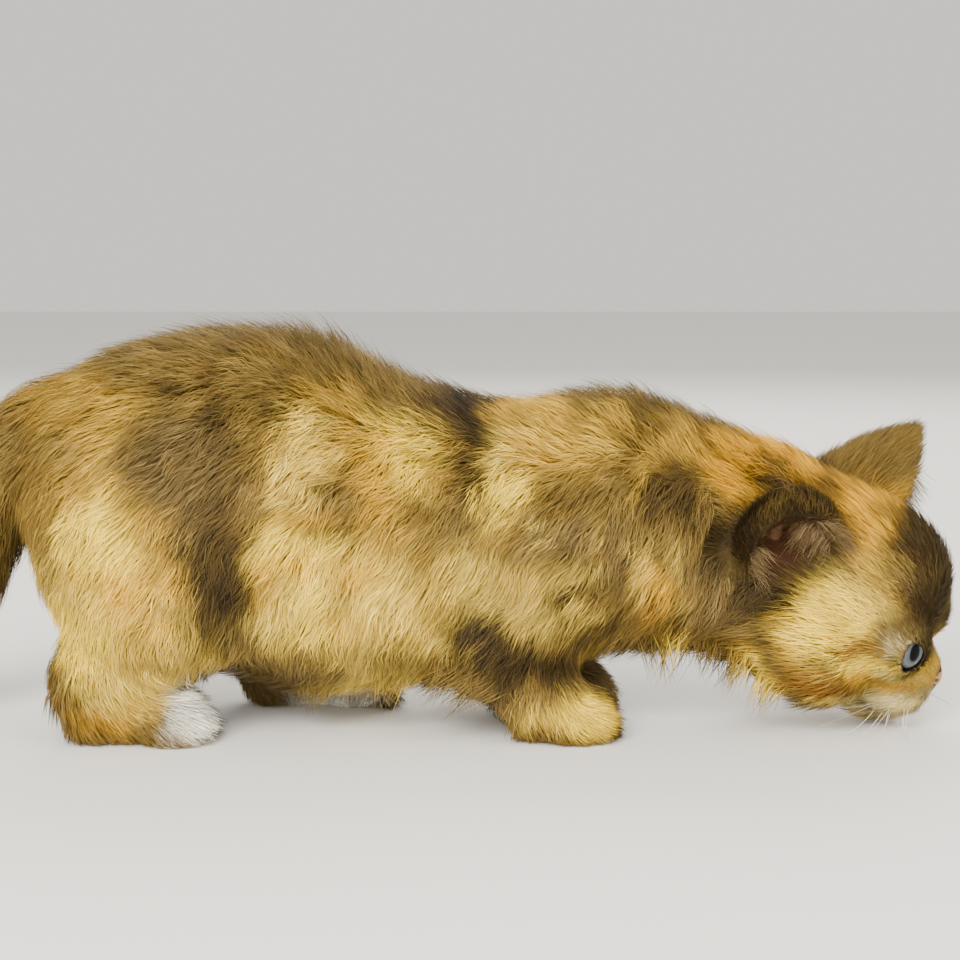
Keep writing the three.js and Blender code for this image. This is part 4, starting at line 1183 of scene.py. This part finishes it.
SHORT = [  # name, hairs, from and to this length, width for each mm of length, bends
    ("short_coat_1", 25000, 4.5, 9, 0.058, True),
    ("short_coat_2", 25000, 4.5, 9, 0.05, True),
    ("fine_coat", 45000, 0, 4.5, 0.085, False),
]
middles_in_head = in_head(middles)
from_eyes = [np.linalg.norm(in_eye(middles_in_head, s), axis=1) for s in (-1, 1)]
by_eye = np.minimum(*from_eyes) < 12
for number, (name, count, least, most, width, bends) in enumerate(SHORT):
    rng = np.random.default_rng(40 + number)
    weight = ((quad_long >= least) & (quad_long < most) | quad_ear & (most == 9)) * ~hidden
    weight = weight * (1 - np.clip(quad_bare * 1.3, 0, 1))
    weight = weight * np.clip(6 / quad_long, 0.7, 2) * (1 + by_eye)
    at, out, uv = roots(count, weight, rng)
    _, long, _ = coat_at(at)
    long = long * rng.uniform(0.7, 1.25, len(at))
    rise = rng.uniform(0.12, 0.5, count)
    lines = short_hairs(at, out, long, rise, rng.normal(size=count) * 0.2, bends)
    clear = np.ones(count, bool)
    for s in (-1, 1):
        e = in_eye(in_head(lines[:, -1]), s)
        clear &= (almond(e, s) > 0.1) | (e[:, 0] < 0) | (np.linalg.norm(e, axis=1) > 12)
    at, out, uv, long, lines = at[clear], out[clear], uv[clear], long[clear], lines[clear]
    hair_width = np.clip(long * width, 0.15, 0.38) * rng.uniform(0.7, 1.3, len(at))
    colours = tinted(lines, rng.normal(size=(len(at), 3)) * 0.5, rng)
    alone = 0.5 * (at[:, 2] < 13)
    for s in (-1, 1):
        e = in_ear(in_head(at), s)
        alone[(e[:, 2] > 4) & (np.hypot(e[:, 0], e[:, 1]) < 17)] = 1
    piece = hair_piece(name, lines, out, hair_width, colours, uv, rng, fur_material, 0, alone)

# Hair of the ears: fine and pale, it grows from the bare skin on the inner side of the front
# edge, more thinly at the back edge, and falls loosely across the cup.
EAR_HAIRS = 1500
EAR_HAIR_PALE, EAR_HAIR_DARK = np.array([0.34, 0.235, 0.11]), np.array([0.14, 0.085, 0.03])
for side, s in (("right", -1), ("left", 1)):
    rng = np.random.default_rng(60 + s)
    e = in_ear(middles_in_head, s)
    bare_edge = quad_ear & (quad_bare > 0.2) & (np.abs(e[:, 1]) < 14)
    front = bare_edge & (-s * e[:, 1] > 4.5) & (e[:, 2] < 22)
    back = bare_edge & (s * e[:, 1] > 8.5) & (e[:, 2] < 16)
    at, out, uv = roots(EAR_HAIRS, front + back * 0.5, rng)
    z = in_ear(in_head(at), s)
    in_front = s * z[:, 1] < 0
    sweep = np.where(in_front, np.where(rng.random(len(at)) < 0.6, -0.9, 0.9), -0.5) * s
    way = np.stack([0.5 + 0 * sweep, sweep, 0.1 + 0 * sweep], 1)
    way = way + rng.normal(size=(len(at), 3)) * 0.25
    way = unit(way @ (head_turn @ ear_turn(s)).T)
    long = rng.uniform(3, 8.5, len(at)) * 1.1
    drop = np.array([0, 0, -0.22]) * long[:, None]
    lines = np.stack([at, at + way * (long * 0.5)[:, None], at + way * long[:, None] + drop], 1)
    blend_in = rng.random((len(at), 1, 1))
    colours = EAR_HAIR_PALE * blend_in + EAR_HAIR_DARK * (1 - blend_in)
    # Each ear hair is darker at its root and lighter at its tip: painted shade at the root and painted
    # light at the tip.
    colours = colours * np.array([0.7, 1, 1.2])[None, :, None]
    widths = rng.uniform(0.14, 0.28, len(at))
    hairs = hair_piece("ear_hair_" + side, lines, out, widths, colours, uv, rng, fur_material, 0, 1)

# Whiskers: stiff white hairs that grow in four rows from deep in each lip pad. They stand out to
# the side and back, clear of the short coat of the pad, and bend a little towards their tips.
rng = np.random.default_rng(70)
lines = []
t = np.linspace(0, 1, 9)[:, None]
for s in (-1, 1):
    for row in range(4):
        for place in range(5):
            at = mirrored([27.0 - place * 1.7 - row * 0.4, 6.2 + place * 0.8, -11.0 - row * 1.9], s)
            at = at + rng.normal(size=3) * 0.3
            way = mirrored([0.4 - 0.36 * place, 0.6, -0.34 + 0.04 * row], s)
            way = way + rng.normal(size=3) * 0.12
            long = rng.uniform(23, 32) * (1 - 0.07 * row)
            sag = np.array([-0.22, 0, 0.02]) + rng.normal(size=3) * 0.10
            lines.append(at + unit(way) * long * t + sag * long * t**2)
lines = out_of_head(np.array(lines))
upward = np.tile([0.0, 0, 1], (len(lines), 1))
whisker = Finish("whisker", Roughness=0.35)
place = whisker.node("ShaderNodeTexCoord", {}, {}, "Object")
white = whisker.mix(whisker.noise(300, 2, place), (0.80, 0.78, 0.72), (0.92, 0.90, 0.86))
whisker_material = whisker.finished(Base_Color=white, Roughness=0.35)
widths, uv = np.full(len(lines), 0.19), np.full((len(lines), 2), 0.5)
colours = np.ones(lines.shape)
whiskers = hair_piece("whiskers", lines, upward, widths, colours, uv, rng, whisker_material)

# The studio: a pale matt floor under a warm white sky, three soft lamps, and the photo's camera,
# which stands a little over half a metre away, somewhat higher than the back, and tips down.
floor_material = Finish("floor", Roughness=0.8)
floor_noise = floor_material.noise(6, 2)
tone = floor_material.mix(floor_noise, (0.78, 0.77, 0.75), (0.82, 0.81, 0.79))
ground = bpy.data.meshes.new("floor")
ground.from_pydata([(-4, -4, 0), (4, -4, 0), (4, 4, 0), (-4, 4, 0)], [], [(0, 1, 2, 3)])
ground.materials.append(floor_material.finished(Base_Color=tone))
floor = bpy.data.objects.new("floor", ground)
bpy.context.scene.collection.objects.link(floor)

world = bpy.data.worlds.new("studio")
bpy.context.scene.world = world
world.use_nodes = True
sky = world.node_tree.nodes["Background"].inputs
sky["Color"].default_value = (1, 0.97, 0.9, 1)
sky["Strength"].default_value = 0.95


def lamp(name, at, size, watts):
    light = bpy.data.lights.new(name, "AREA")
    light.size, light.energy, light.color = size, watts, (1, 0.96, 0.88)
    thing = bpy.data.objects.new(name, light)
    thing.location = at
    thing.rotation_euler = (Vector((0, 0, 0.05)) - Vector(at)).to_track_quat("-Z", "Y").to_euler()
    bpy.context.scene.collection.objects.link(thing)


lamp("key_light", (-0.35, -1.25, 0.75), 0.8, 45)
lamp("fill_light", (0.9, -0.8, 0.7), 1.1, 15)
lamp("back_light", (0.1, 1.0, 0.9), 0.9, 14)

CAMERA_AT, CAMERA_TILT = np.array([0, -550, 123]), 6.1
camera = bpy.data.cameras.new("camera")
camera.lens = 79.3
camera.clip_start = 0.01
camera_thing = bpy.data.objects.new("camera", camera)
camera_thing.location = metres(CAMERA_AT)
camera_thing.rotation_euler = (math.radians(90 - CAMERA_TILT), 0, 0)
bpy.context.scene.collection.objects.link(camera_thing)
bpy.context.scene.camera = camera_thing
